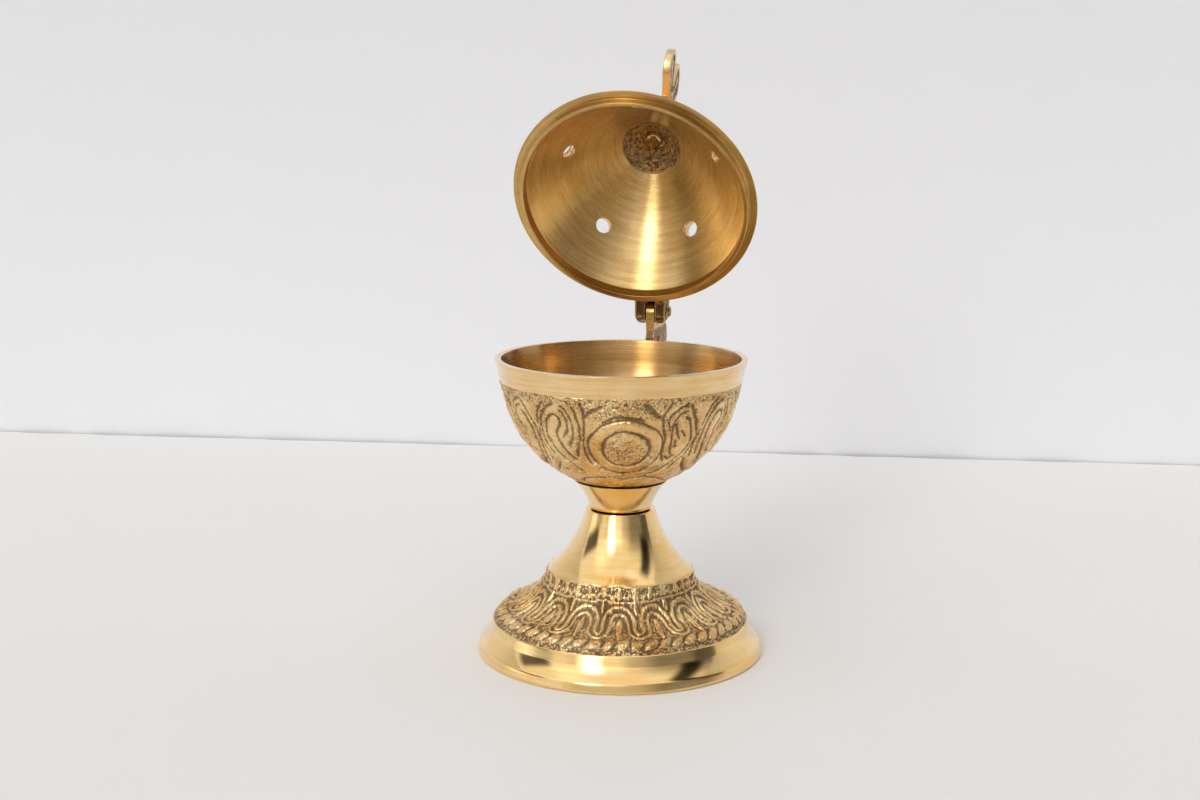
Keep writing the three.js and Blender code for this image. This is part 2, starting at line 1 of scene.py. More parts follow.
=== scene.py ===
# Looks of the standing censer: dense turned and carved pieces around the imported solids.
import json
import math
import random

import bmesh
import bpy
import numpy as np
from mathutils import Matrix, Vector


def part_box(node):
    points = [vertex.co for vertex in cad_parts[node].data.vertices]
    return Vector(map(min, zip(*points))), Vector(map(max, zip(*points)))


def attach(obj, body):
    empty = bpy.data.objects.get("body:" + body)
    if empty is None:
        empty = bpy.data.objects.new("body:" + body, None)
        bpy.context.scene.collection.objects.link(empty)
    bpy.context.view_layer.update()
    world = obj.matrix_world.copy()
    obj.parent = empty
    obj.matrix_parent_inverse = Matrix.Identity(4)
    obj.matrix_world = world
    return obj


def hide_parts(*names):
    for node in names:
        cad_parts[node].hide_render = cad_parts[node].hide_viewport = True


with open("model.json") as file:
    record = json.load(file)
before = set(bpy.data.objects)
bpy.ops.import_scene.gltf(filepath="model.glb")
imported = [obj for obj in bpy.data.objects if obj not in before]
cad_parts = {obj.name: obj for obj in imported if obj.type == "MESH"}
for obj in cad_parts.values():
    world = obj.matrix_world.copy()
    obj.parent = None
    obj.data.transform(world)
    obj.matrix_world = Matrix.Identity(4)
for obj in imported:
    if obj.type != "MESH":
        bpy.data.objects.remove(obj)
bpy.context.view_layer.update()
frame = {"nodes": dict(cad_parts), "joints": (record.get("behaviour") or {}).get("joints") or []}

MM = 0.001

# Places of the two axes that everything is turned about.
foot_low, foot_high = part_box("foot")
bowl_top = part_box("bowl")[1].z
AXIS_Y = (foot_low.y + foot_high.y) / 2
SEAT_GAP = 0.3 * MM
HINGE = frame["joints"][0]
PIN = Vector(HINGE["pos_m"])
OPEN_ANGLE = math.radians(HINGE["range_deg"][1])
STAND = Matrix.Translation((0, AXIS_Y, 0))
SEAT = Matrix.Translation((0, AXIS_Y, bowl_top + SEAT_GAP))
SWING = Matrix.Translation(PIN) @ Matrix.Rotation(-OPEN_ANGLE, 4, "X") @ Matrix.Translation(-PIN)
LID_FRAME = SWING @ SEAT

AROUND = 960
CHART = "around"
GRAIN_SEED = 7

# Outlines: angles in degrees, lengths in mm.
SECTION_TURN = math.radians(0.05)
STRAIGHT_ANGLE = 0.4
CRISP_ANGLE = 26
ROUNDING_ANGLE = 15
SAME_SPOT = 0.01
TINY = 1e-4
EDGE_ROUNDING = 0.18


def closed_outline(node, place):
    """Closed outline (r, z) in mm of a turned node, from a cut through its own axis towards +X."""
    shape = bmesh.new()
    shape.from_mesh(frame["nodes"][node].data)
    shape.transform(Matrix.Scale(1 / MM, 4) @ place.inverted())
    bmesh.ops.remove_doubles(shape, verts=shape.verts, dist=1e-3)
    normal = Vector((-math.sin(SECTION_TURN), math.cos(SECTION_TURN), 0))
    everything = shape.verts[:] + shape.edges[:] + shape.faces[:]
    result = bmesh.ops.bisect_plane(shape, geom=everything, plane_co=(0, 0, 0), plane_no=normal, dist=1e-5)
    section = [e for e in result["geom_cut"] if isinstance(e, bmesh.types.BMEdge)]
    section = [e for e in section if min(v.co.x for v in e.verts) > 0]
    links = {}
    for edge in section:
        a, b = edge.verts
        links.setdefault(a, []).append(b)
        links.setdefault(b, []).append(a)
    start = max(links, key=lambda v: v.co.x)
    walk = [start]
    previous, current = None, start
    while True:
        onward = [v for v in links[current] if v is not previous]
        previous, current = current, onward[0]
        if current is start:
            break
        walk.append(current)
    points = np.array([(math.hypot(v.co.x, v.co.y), v.co.z) for v in walk])
    shape.free()
    points = straightened(points)
    return points if signed_area(points) > 0 else points[::-1]


def signed_area(points):
    r, z = points.T
    return 0.5 * np.sum(r * np.roll(z, -1) - np.roll(r, -1) * z)


def bend(a, b, c):
    """Positive where the way from a over b to c turns left."""
    return (b[0] - a[0]) * (c[1] - b[1]) - (b[1] - a[1]) * (c[0] - b[0])


def turns(points):
    """Turn in degrees at each corner of a closed outline."""
    ahead = np.roll(points, -1, 0) - points
    behind = points - np.roll(points, 1, 0)
    cross = behind[:, 0] * ahead[:, 1] - behind[:, 1] * ahead[:, 0]
    return np.degrees(np.arctan2(cross, np.sum(ahead * behind, 1)))


def straightened(points):
    """The outline without the points that lie on a straight stretch or on each other."""
    apart = np.linalg.norm(points - np.roll(points, 1, 0), axis=1) > SAME_SPOT
    points = points[apart]
    return points[np.abs(turns(points)) > STRAIGHT_ANGLE]


def without_notches(points, start, end):
    """The outline without the grooves that are cut into its bowed wall between two corners."""
    points = list(map(tuple, points))
    first = min(points, key=lambda p: math.dist(p, start))
    last = min(points, key=lambda p: math.dist(p, end))
    turn = points.index(first)
    points = points[turn:] + points[:turn]
    stop = points.index(last)
    hull = []
    for spot in points[:stop + 1]:
        while len(hull) > 1 and bend(hull[-2], hull[-1], spot) < 1e-3:
            hull.pop()
        hull.append(spot)
    return straightened(np.array(hull + points[stop + 1:]))


def nearest(points, spot):
    return int(np.argmin(np.hypot(points[:, 0] - spot[0], points[:, 1] - spot[1])))


def dense_outline(points, step, crisp_at=()):
    """Fine outline: crisp corners get a small round edge, and corners of arcs vanish in smooth bends."""
    angle = turns(points)
    crisp = np.abs(angle) > CRISP_ANGLE
    for spot in crisp_at:
        crisp[nearest(points, spot)] = True
    ahead = np.roll(points, -1, 0) - points
    length = np.linalg.norm(ahead, axis=1)
    shortest = np.minimum(length, np.roll(length, 1))
    cut = np.where(crisp, np.minimum(EDGE_ROUNDING, 0.4 * shortest), 0.5 * shortest)
    unit = ahead / length[:, None]
    count = len(points)
    fine = []
    for i in range(count):
        enter = points[i] - cut[i] * unit[i - 1]
        leave = points[i] + cut[i] * unit[i]
        spacing = step(*points[i])
        bends = max(2, math.ceil(2 * cut[i] / spacing), math.ceil(abs(angle[i]) / ROUNDING_ANGLE))
        for t in np.linspace(0, 1, bends, endpoint=False):
            fine.append((1 - t) ** 2 * enter + 2 * t * (1 - t) * points[i] + t * t * leave)
        fine.append(leave)
        onward = points[(i + 1) % count] - cut[(i + 1) % count] * unit[i]
        gap = np.linalg.norm(onward - leave)
        if gap > TINY:
            pieces = max(1, math.ceil(gap / step(*((leave + onward) / 2))))
            for k in range(1, pieces):
                fine.append(leave + (onward - leave) * k / pieces)
    fine = np.array(fine)
    apart = np.linalg.norm(fine - np.roll(fine, 1, 0), axis=1) > TINY
    return fine[apart]


class Skin:
    """A closed outline, its outward normals and its running length, ready to be turned about Z."""

    def __init__(self, points):
        self.points = points
        tangent = np.roll(points, -1, 0) - np.roll(points, 1, 0)
        tangent /= np.linalg.norm(tangent, axis=1)[:, None]
        self.normal = np.stack([tangent[:, 1], -tangent[:, 0]], 1)
        self.run = self.length_along(range(len(points)))

    def between(self, start, end):
        """Rows from one corner to another, in the outline's own direction, as indices."""
        first = nearest(self.points, start)
        last = nearest(self.points, end)
        count = len(self.points)
        return [(first + k) % count for k in range((last - first) % count + 1)]

    def length_along(self, rows):
        steps = np.linalg.norm(np.diff(self.points[rows], axis=0), axis=1)
        return np.concatenate([[0], np.cumsum(steps)])


# Relief

def smoothstep(low, high, value):
    t = np.clip((value - low) / (high - low), 0, 1)
    return t * t * (3 - 2 * t)


def blurred(field, rows, columns):
    """Gaussian blur of a height field that closes on itself around the axis. The sizes are in cells."""
    pad = min(field.shape[0], int(4 * rows) + 1)
    tall = np.concatenate([field[pad - 1::-1], field, field[:-pad - 1:-1]])
    down = np.fft.fftfreq(tall.shape[0])[:, None]
    across = np.fft.rfftfreq(tall.shape[1])[None, :]
    weight = np.exp(-2 * (np.pi ** 2) * ((down * rows) ** 2 + (across * columns) ** 2))
    soft = np.fft.irfft2(np.fft.rfft2(tall) * weight, s=tall.shape)
    return soft[pad:pad + field.shape[0]]


def grain(shape, size, seed, columns=None):
    """Even random grain of a size in cells, with a spread of one."""
    noise = np.random.default_rng(seed).standard_normal(shape)
    soft = blurred(noise, size, columns or size)
    return soft / soft.std()


def curve_through(points):
    """Smooth curve through control points of (angle, depth, half width)."""
    spacing = 0.5
    pts = np.array(points, float)
    padded = np.vstack([2 * pts[0] - pts[1], pts, 2 * pts[-1] - pts[-2]])
    fine = []
    for i in range(1, len(padded) - 2):
        p0, p1, p2, p3 = padded[i - 1:i + 3]
        count = max(2, int(np.hypot((p2[0] - p1[0]) / 2, p2[1] - p1[1]) / spacing) + 1)
        for t in np.linspace(0, 1, count, endpoint=False):
            squared = (2 * p0 - 5 * p1 + 4 * p2 - p3) * t ** 2
            cubed = (3 * p1 - p0 - 3 * p2 + p3) * t ** 3
            fine.append(0.5 * (2 * p1 + (p2 - p0) * t + squared + cubed))
    fine.append(pts[-1])
    return np.array(fine)


def stroke_field(strokes, angles, depths, radii, profile):
    """Largest value at each spot of the profile of distance over half width, for a set of curves."""
    side_margin = 6
    depth_margin = 2
    least_width = 0.02
    field = np.zeros((len(depths), len(angles)))
    for stroke in strokes:
        curve = curve_through(stroke)
        low, top, _ = curve.min(0)
        high, foot, _ = curve.max(0)
        columns = np.where((angles > low - side_margin) & (angles < high + side_margin))[0]
        rows = np.where((depths > top - depth_margin) & (depths < foot + depth_margin))[0]
        if not len(columns) or not len(rows):
            continue
        for row in rows:
            scale = math.radians(1) * radii[row]
            x = angles[columns, None] * scale
            start = curve[:-1]
            delta = curve[1:] - start
            dx = delta[None, :, 0] * scale
            dy = delta[None, :, 1]
            ox = x - start[None, :, 0] * scale
            oy = depths[row] - start[None, :, 1]
            t = np.clip((ox * dx + oy * dy) / (dx * dx + dy * dy + 1e-9), 0, 1)
            distance = np.hypot(ox - t * dx, oy - t * dy)
            width = start[None, :, 2] + t * delta[None, :, 2]
            closest = np.min(distance / np.maximum(width, least_width), axis=1)
            field[row, columns] = np.maximum(field[row, columns], profile(closest))
    return field


def groove(x):
    """Soft round profile of a cut line."""
    return np.exp(-x * x)


def ridge(x):
    """Round profile of a raised line, a little wider than its width."""
    return np.sqrt(np.clip(1 - (x / 1.25) ** 2, 0, 1))


def repeated(strokes, period):
    """The strokes of one unit with those of its neighbours."""
    shifts = (-period, 0, period)
    return [[(u + shift, v, w) for u, v, w in stroke] for stroke in strokes for shift in shifts]


def sampled(unit, angles, depths, period, origin, at_angle, at_depth):
    """Bilinear samples of a unit's field, which repeats around the axis."""
    step_u = angles[1] - angles[0]
    step_v = depths[1] - depths[0]
    u = (np.mod(at_angle - origin, period)) / step_u
    v = np.clip((at_depth - depths[0]) / step_v, 0, len(depths) - 1.001)
    u0 = np.floor(u).astype(int)
    v0 = np.floor(v).astype(int)
    fu = u - u0
    fv = v - v0
    width = unit.shape[1]
    u1 = (u0 + 1) % width
    u0 = u0 % width
    top = unit[v0, u0] * (1 - fu) + unit[v0, u1] * fu
    low = unit[v0 + 1, u0] * (1 - fu) + unit[v0 + 1, u1] * fu
    return top * (1 - fv) + low * fv


def unit_field(strokes, period, origin, depths, radii, profile, step=0.25):
    """Angles and field of one unit, drawn on a flat grid."""
    count = int(round(period / step))
    angles = origin + np.arange(count) * period / count
    return angles, stroke_field(repeated(strokes, period), angles, depths, radii, profile)


# Bowl ornament: angles in degrees from the front towards +X, depths in mm below the turned band.
BOWL_PERIOD = 90
BOWL_TURN = 14
BOWL_ORIGIN = -48
MEDALLION = (0.6, 14.4)
MEDALLION_ACROSS = 12.7
MEDALLION_DOWN = 5.7
HOLLOW_BLUR = 3.2

bowl_grooves = {
    "left_comma_inner": [(-32, 3.6, .3), (-29.6, 5.6, .42), (-28.9, 7.6, .48), (-29.4, 9.2, .45),
                         (-31.2, 10.8, .35)],
    "left_comma_middle": [(-31, 2.2, .25), (-28.2, 4.2, .35), (-26.4, 6.6, .42), (-25.9, 8.4, .46),
                          (-26.6, 10.4, .46), (-28, 12.2, .42), (-29.4, 13.8, .34)],
    "left_comma_outer": [(-25.6, 2.6, .28), (-24, 4.4, .4), (-22.9, 6.6, .44), (-22.4, 8.6, .46),
                         (-22.9, 10.6, .46), (-24.2, 12.8, .48), (-25.8, 15, .44), (-27, 17, .32)],
    "left_flank": [(-21.8, 1.2, .3), (-20.4, 3.2, .38), (-19.8, 5.2, .36), (-19.9, 8, .34),
                   (-20.6, 10.4, .36), (-21.5, 13, .4), (-22.1, 15.4, .38), (-21.4, 17.6, .36),
                   (-19.6, 20, .3)],
    "left_loop": [(-35.2, 4.9, .3), (-37, 4.8, .34), (-39, 5.6, .36), (-41, 7.4, .4), (-42, 9.6, .42),
                  (-42, 12, .4), (-41.2, 14.4, .38), (-39.6, 16.6, .34), (-37, 18.8, .3), (-34, 20.8, .3),
                  (-31, 22.6, .34), (-28, 24.2, .3)],
    "left_hook": [(-35.6, 4.9, .3), (-34, 5.4, .36), (-32.9, 6.6, .4), (-33, 7.8, .4), (-34.4, 8.6, .34),
                  (-35.2, 10, .28), (-35.2, 12, .3), (-34.4, 14, .34), (-33.2, 16, .34), (-31.2, 17.8, .36),
                  (-29, 18.3, .34)],
    "left_shoulder": [(-36, 2, .3), (-38.2, 2.6, .36), (-40.8, 3.8, .48), (-43, 5.4, .5), (-44.7, 7.6, .44),
                      (-45.5, 10, .34), (-45.6, 12.4, .3), (-45, 15, .3), (-43.6, 17.4, .26)],
    "left_outer": [(-41.4, 1.8, .3), (-44.2, 3.4, .38), (-46.4, 5.6, .4), (-47.6, 8, .36)],
    "left_tail": [(-50.5, 18.8, .3), (-49, 20.2, .5), (-46.5, 22, .55), (-42.5, 23.8, .5),
                  (-37, 25.4, .34)],
    "left_leaf": [(-47.6, 9.4, .26), (-48.6, 12.4, .3), (-48.4, 15.6, .32), (-47.2, 18.6, .3)],
    "right_flank": [(21.6, 1.6, .4), (19.4, 3.2, .5), (18.3, 5, .52), (18.5, 7, .5), (19.6, 9.2, .46),
                    (20.6, 11.2, .44), (21, 13.4, .42), (21.4, 15.4, .4), (22.2, 17.4, .38),
                    (23.8, 18.9, .28)],
    "right_comma": [(30.8, 2.1, .3), (28, 2.3, .38), (25.4, 3, .42), (23, 4.2, .46), (21.6, 5.8, .46),
                    (21.7, 7.4, .44), (22.6, 9, .34)],
    "right_loop": [(30.4, 3.8, .34), (27.8, 4.1, .36), (25.7, 5.2, .36), (24.4, 7, .34), (24, 8.8, .34),
                   (24.4, 10.8, .36), (24.9, 12.8, .38), (25.8, 14.6, .4), (27.2, 16.6, .34)],
    "right_eye": [(25.7, 6.6, .34), (26.1, 8.2, .44), (27.2, 9.9, .44), (29, 11.6, .3)],
    "right_seed": [(26.9, 12.3, .32), (28.2, 14.1, .34)],
    "right_inner": [(30.8, 5.3, .34), (33, 6, .46), (34.8, 7.8, .44), (36.2, 9.8, .38), (36.9, 11.8, .4),
                    (36.8, 13.6, .36), (35.6, 15.6, .36), (33.6, 17.4, .34), (31.2, 19, .34)],
    "right_shoulder": [(32.4, 2.4, .34), (34.8, 3.8, .52), (36.8, 5.8, .56), (38.4, 7.8, .54),
                       (39.8, 9.6, .4), (40.4, 11.4, .26), (40.2, 13.2, .28), (39, 15.6, .36),
                       (37, 18, .38), (34.6, 20.2, .36), (31.6, 22.6, .3)],
    "right_tail": [(31.4, 19.4, .3), (28.6, 20.7, .6), (26, 22, .62), (23, 23.2, .55), (19.6, 24.2, .5),
                   (15.6, 24.9, .34)],
    "right_leaf": [(24.6, 17.4, .3), (27, 18.3, .42), (29, 17.2, .34)],
    "right_vein": [(29, 8.9, .18), (30.6, 9.9, .24), (32.2, 10.8, .18)],
    "right_outer": [(45, 20.6, .26), (42, 22.4, .36), (38, 24, .36), (31, 25.8, .26)],
    "cloud_left": [(-20.4, 5.2, .3), (-17.6, 3.9, .46), (-14.8, 3, .5), (-11, 2, .34)],
    "cloud_right": [(9.6, 1.3, .3), (13.4, 3.2, .5), (16.8, 4.8, .4)],
    "cloud_top": [(-10, 6.2, .3), (-4, 4.8, .36), (2, 4.9, .4), (8, 5.4, .34)],
    "skirt": [(-15, 21.4, .3), (-8, 22.6, .36), (0, 23.8, .42), (8, 22.8, .36), (15, 21.2, .3)],
    "foot_leaf_left": [(-42, 31, .3), (-34, 28.6, .42), (-22, 26.8, .44), (-8, 26.2, .36), (0, 27.4, .3)],
    "foot_leaf_right": [(0, 27.4, .3), (10, 26.2, .36), (24, 27, .44), (36, 28.8, .42), (46, 31, .3)],
}


def oval(centre, across, down, width, start=0, end=360, steps=28):
    """Stroke along part of an oval, counted from its right side downwards."""
    angles = np.radians(np.linspace(start, end, steps))
    return [(centre[0] + across * math.cos(a), centre[1] + down * math.sin(a), width) for a in angles]


bowl_grooves["medallion_inner"] = oval(MEDALLION, MEDALLION_ACROSS, MEDALLION_DOWN, 0.26, -150, 210)
bowl_grooves["medallion_right"] = oval(MEDALLION, 12.5, 5.6, 0.42, -50, 40, 10)
bowl_grooves["medallion_outer"] = oval(MEDALLION, 19.8, 8.9, 0.22, -180, 180)
bowl_grooves["medallion_left"] = oval(MEDALLION, 19.9, 8.8, 0.42, 150, 215, 8)


def wavering(shape, seed, sizes, angle_shares, depth_shares):
    """Small random shifts in angle and depth, so that no two repeats are alike."""
    wide, small = sizes
    sway = grain(shape, wide[0], seed) * angle_shares[0]
    sway = sway + grain(shape, small, seed + 6) * angle_shares[1]
    drift = grain(shape, wide[1], seed + 1) * depth_shares[0]
    drift = drift + grain(shape, small, seed + 7) * depth_shares[1]
    return sway, drift


def bowl_relief(angle, depth, radii, seed):
    """Height in mm and share of bare rough ground, for the bowl's carved wall."""
    groove_depth = 0.38
    hollow_depth = 0.7
    disc_rise = 0.16
    ring_rise = 0.1
    coarse_grain = 0.085
    fine_grain = 0.06
    pit_depth = 0.06
    uneven = 0.07
    step_in = 0.2
    depths = np.arange(-1, 36, 0.15)
    unit_radii = np.interp(depths, depth, radii)
    strokes = list(bowl_grooves.values())
    angles, cuts = unit_field(strokes, BOWL_PERIOD, BOWL_ORIGIN, depths, unit_radii, groove)
    shape = (len(depth), len(angle))
    u = np.broadcast_to(angle[None, :] - BOWL_TURN, shape)
    v = np.broadcast_to(depth[:, None], shape)
    sway, drift = wavering(shape, seed, ((14, 16), 4), (0.35, 0.12), (0.1, 0.06))
    cut = sampled(cuts, angles, depths, BOWL_PERIOD, BOWL_ORIGIN, u + sway, v + drift)
    hollow = blurred(cut, HOLLOW_BLUR, HOLLOW_BLUR)
    fade = smoothstep(0.3, 1.4, depth[-1] - v)
    local = np.mod(u - BOWL_ORIGIN, BOWL_PERIOD) + BOWL_ORIGIN
    reach = np.hypot((local - MEDALLION[0]) / MEDALLION_ACROSS, (v - MEDALLION[1]) / MEDALLION_DOWN)
    disc = smoothstep(1, 0.8, reach)
    ring = smoothstep(0.98, 1.12, reach) * smoothstep(1.56, 1.44, reach)
    cloud = smoothstep(21, 15, np.abs(local)) * smoothstep(7, 4.5, v) * smoothstep(1.48, 1.6, reach)
    border = smoothstep(3.6, 0.6, v)
    patchy = 0.12 * grain(shape, 8, seed + 8)
    rough = 0.5 + patchy + 0.8 * border + 0.6 * cloud + 0.2 * disc + 0.6 * hollow
    rough = np.clip(rough, 0, 1) * fade
    coarse = grain(shape, 1.3, seed + 2)
    fine = grain(shape, 0.7, seed + 3)
    pits = np.clip(coarse - 0.6, 0, None)
    height = -(groove_depth * cut + hollow_depth * hollow) * (0.25 + 0.75 * fade)
    height += (disc_rise * disc * (1 - reach ** 2) + ring_rise * ring) * fade
    height += rough * (coarse_grain * coarse + fine_grain * fine - pit_depth * pits)
    height += uneven * grain(shape, 7, seed + 4) * fade
    height -= step_in * smoothstep(0.1, 0.9, v + 0.35 * grain(shape, 12, seed + 5)) * fade
    return height, rough


# Foot ornament: angles in degrees about an arch's middle, depths in mm below the collar's top.
ARCH_PERIOD = 22.5
ARCH_TURN = 11.5


def mirrored(stroke):
    return [(-u, v, w) for u, v, w in stroke]


arch_rim = [(0, 5.2, .42), (3.6, 5.5, .42), (6.6, 6.5, .42), (8.7, 8.2, .42), (9.3, 10, .42),
            (9, 11.8, .42), (9.6, 13.2, .4), (11.25, 13.8, .38)]
arch_inner = [(0, 7.1, .34), (2.6, 7.5, .36), (4.6, 8.8, .36), (5.3, 10.6, .36), (5.5, 12.4, .36),
              (6.6, 14, .38), (9, 15.2, .36), (11.25, 15.5, .34)]
arch_tongue = [(0, 8.8, .25), (0, 10.4, .6), (0, 12.4, .62), (0, 14.4, .5), (0, 15.6, .3)]
arch_drop = [(11.25, 4.5, .3), (11.25, 5.8, .46), (11.25, 7.2, .2)]
arch_line = [(-11.25, 4.0, .26), (0, 4.0, .26), (11.25, 4.0, .26)]
arch_ridges = [arch_rim, mirrored(arch_rim), arch_inner, mirrored(arch_inner), arch_tongue, arch_drop,
               arch_line]
LEAF_PERIOD = 11.25
leaf_vein = [(0, 0.3, .5), (0, 1.4, .62), (0, 2.6, .4)]
leaf_edge = [(-5.6, 3.1, .3), (-2.6, 2.4, .28), (0, 3.3, .26), (2.6, 2.4, .28), (5.6, 3.1, .3)]
BEADS = 54
BEAD_DEPTH = 17.6
BEAD_HALF = 1.7


def foot_relief(angle, depth, radii, seed):
    """Height in mm and share of bare rough ground, for the foot's cast dome."""
    arch_rise = 0.44
    leaf_rise = 0.36
    bead_rise = 0.62
    coarse_grain = 0.085
    fine_grain = 0.055
    pit_depth = 0.08
    uneven = 0.05
    ground = 0.26
    drawn_step = 0.125
    depths = np.arange(-1, 22, 0.12)
    unit_radii = np.interp(depths, depth, radii)
    shape = (len(depth), len(angle))
    u = np.broadcast_to(angle[None, :], shape)
    v = np.broadcast_to(depth[:, None], shape)
    sway, drift = wavering(shape, seed, ((12, 12), 3), (0.45, 0.2), (0.18, 0.09))
    fields = []
    for strokes, period, shift in (
        (arch_ridges, ARCH_PERIOD, sway),
        ([leaf_vein, leaf_edge], LEAF_PERIOD, 2 * sway),
    ):
        angles, unit = unit_field(strokes, period, -period / 2, depths, unit_radii, ridge, drawn_step)
        spots = u - ARCH_TURN + shift
        fields.append(sampled(unit, angles, depths, period, -period / 2, spots, v + drift))
    arch, leaf = fields
    pitch = 360 / BEADS
    across = (v - BEAD_DEPTH + 0.5 * drift) / BEAD_HALF
    slant = u + 3 + 1.3 * sway + 1.6 * across
    along = (np.mod(slant, pitch) - pitch / 2) / (pitch / 2)
    bead = np.sqrt(np.clip(1 - (along * 1.15) ** 2 - across ** 2, 0, 1))
    carved = smoothstep(0.1, 0.8, v + 0.25 * grain(shape, 10, seed + 5)) * smoothstep(20.9, 20.3, v)
    strip = smoothstep(19, 19.4, v)
    coarse = grain(shape, 1.3, seed + 2)
    fine = grain(shape, 0.7, seed + 3)
    pits = np.clip(coarse - 0.5, 0, None)
    top = np.maximum(arch, leaf)
    rough = 0.4 + 0.5 * (1 - top) * smoothstep(4.6, 3, v) + 0.6 * strip + 0.35 * (1 - top)
    rough = rough * carved
    worn = 1 + 0.2 * grain(shape, 5, seed + 8)
    height = (arch_rise * arch + leaf_rise * leaf + bead_rise * bead) * worn
    height += (0.4 + 0.6 * rough) * (coarse_grain * coarse + fine_grain * fine) - pit_depth * rough * pits
    height += uneven * grain(shape, 7, seed + 4)
    height -= ground
    return height * carved, np.clip(rough, 0, 1)


# Lid ornament: angles in degrees about a vent, depths in mm below the crown.
VENT_COUNT = 5
VENT_PERIOD = 360 / VENT_COUNT
VENT_FIRST = -16.5
VENT_RADIUS = 2.15
VENT_PITCH_RADIUS = 20.7
VENT_DEPTH = 18.4

lid_half = {
    "crown_leaf": [(0, 1.2, .3), (5, 3.4, .4), (8, 6, .44), (6, 9, .4), (0, 11, .3)],
    "crown_vein": [(0, 3.6, .24), (0, 6.4, .36), (0, 8.8, .22)],
    "side_leaf": [(36, 2.2, .3), (30, 5.4, .4), (26, 9, .46), (26.5, 13, .44), (31, 16.6, .4),
                  (36, 18.6, .3)],
    "side_vein": [(36, 6, .3), (34.4, 9.4, .42), (34.6, 12.6, .4), (36, 15, .26)],
    "scroll": [(20.4, 13.4, .3), (16.6, 12.6, .4), (14, 14.6, .44), (14.4, 18, .46), (17.4, 21.6, .46),
               (21.6, 24, .46), (26.4, 25, .4), (31, 24, .34), (32.6, 21.6, .28)],
    "scroll_inner": [(20, 16, .28), (18.4, 17.6, .38), (20.2, 20, .4), (24, 21.4, .36), (27.4, 20.6, .28)],
    "skirt": [(0, 26.4, .3), (7, 27.8, .42), (15, 28.8, .46), (24, 28.8, .42), (36, 27.6, .32)],
    "hem": [(0, 31.2, .3), (18, 31.6, .32), (36, 31.2, .3)],
}


def lid_relief(angle, depth, radii, seed):
    """Height in mm and share of bare rough ground, for the lid's carved cone."""
    groove_depth = 0.42
    hollow_depth = 0.5
    coarse_grain = 0.075
    fine_grain = 0.045
    pit_depth = 0.14
    uneven = 0.05
    ground = 0.12
    vent_rings = ((3.9, 0.34), (5.3, 0.4))
    depths = np.arange(-1, 38, 0.15)
    unit_radii = np.interp(depths, depth, radii)
    half = VENT_PERIOD / 2
    strokes = list(lid_half.values()) + [mirrored(stroke) for stroke in lid_half.values()]
    per_mm = math.degrees(1 / np.interp(VENT_DEPTH, depth, radii))
    for radius, width in vent_rings:
        strokes.append(oval((0, VENT_DEPTH), radius * per_mm, radius, width))
    angles, cuts = unit_field(strokes, VENT_PERIOD, -half, depths, unit_radii, groove)
    shape = (len(depth), len(angle))
    u = np.broadcast_to(angle[None, :] - VENT_FIRST - 90, shape)
    v = np.broadcast_to(depth[:, None], shape)
    sway, drift = wavering(shape, seed, ((14, 16), 4), (0.4, 0.14), (0.1, 0.06))
    cut = sampled(cuts, angles, depths, VENT_PERIOD, -half, u + sway, v + drift)
    hollow = blurred(cut, HOLLOW_BLUR, HOLLOW_BLUR)
    inside = smoothstep(0.1, 0.9, v + 0.25 * grain(shape, 12, seed + 5))
    inside = inside * smoothstep(0, 0.8, depth[-1] - v)
    rough = 0.35 + 0.6 * smoothstep(2.4, 0.4, v) + 0.6 * smoothstep(30.6, 32, v) + 0.4 * hollow
    rough = np.clip(rough, 0, 1)
    coarse = grain(shape, 1.7, seed + 2)
    fine = grain(shape, 1.0, seed + 3)
    pits = np.clip(coarse - 0.6, 0, None)
    height = -groove_depth * cut - hollow_depth * hollow - ground
    height += rough * (coarse_grain * coarse + fine_grain * fine - pit_depth * pits)
    height += uneven * grain(shape, 9, seed + 4)
    return height * inside, rough * inside


def dirt(height, rough):
    """Dark patina from 0 to 1: deep and narrow places keep it, rubbed tops don't."""
    near = blurred(height, 2.2, 2.2) - height
    wide = blurred(height, 6, 6) - height
    bare = 0.21 * rough * smoothstep(-0.12, 0.1, wide)
    soiled = 0.75 * smoothstep(0.02, 0.2, near) + 0.55 * smoothstep(0.03, 0.27, wide) + bare
    return np.clip(soiled, 0, 1)


# Meshes

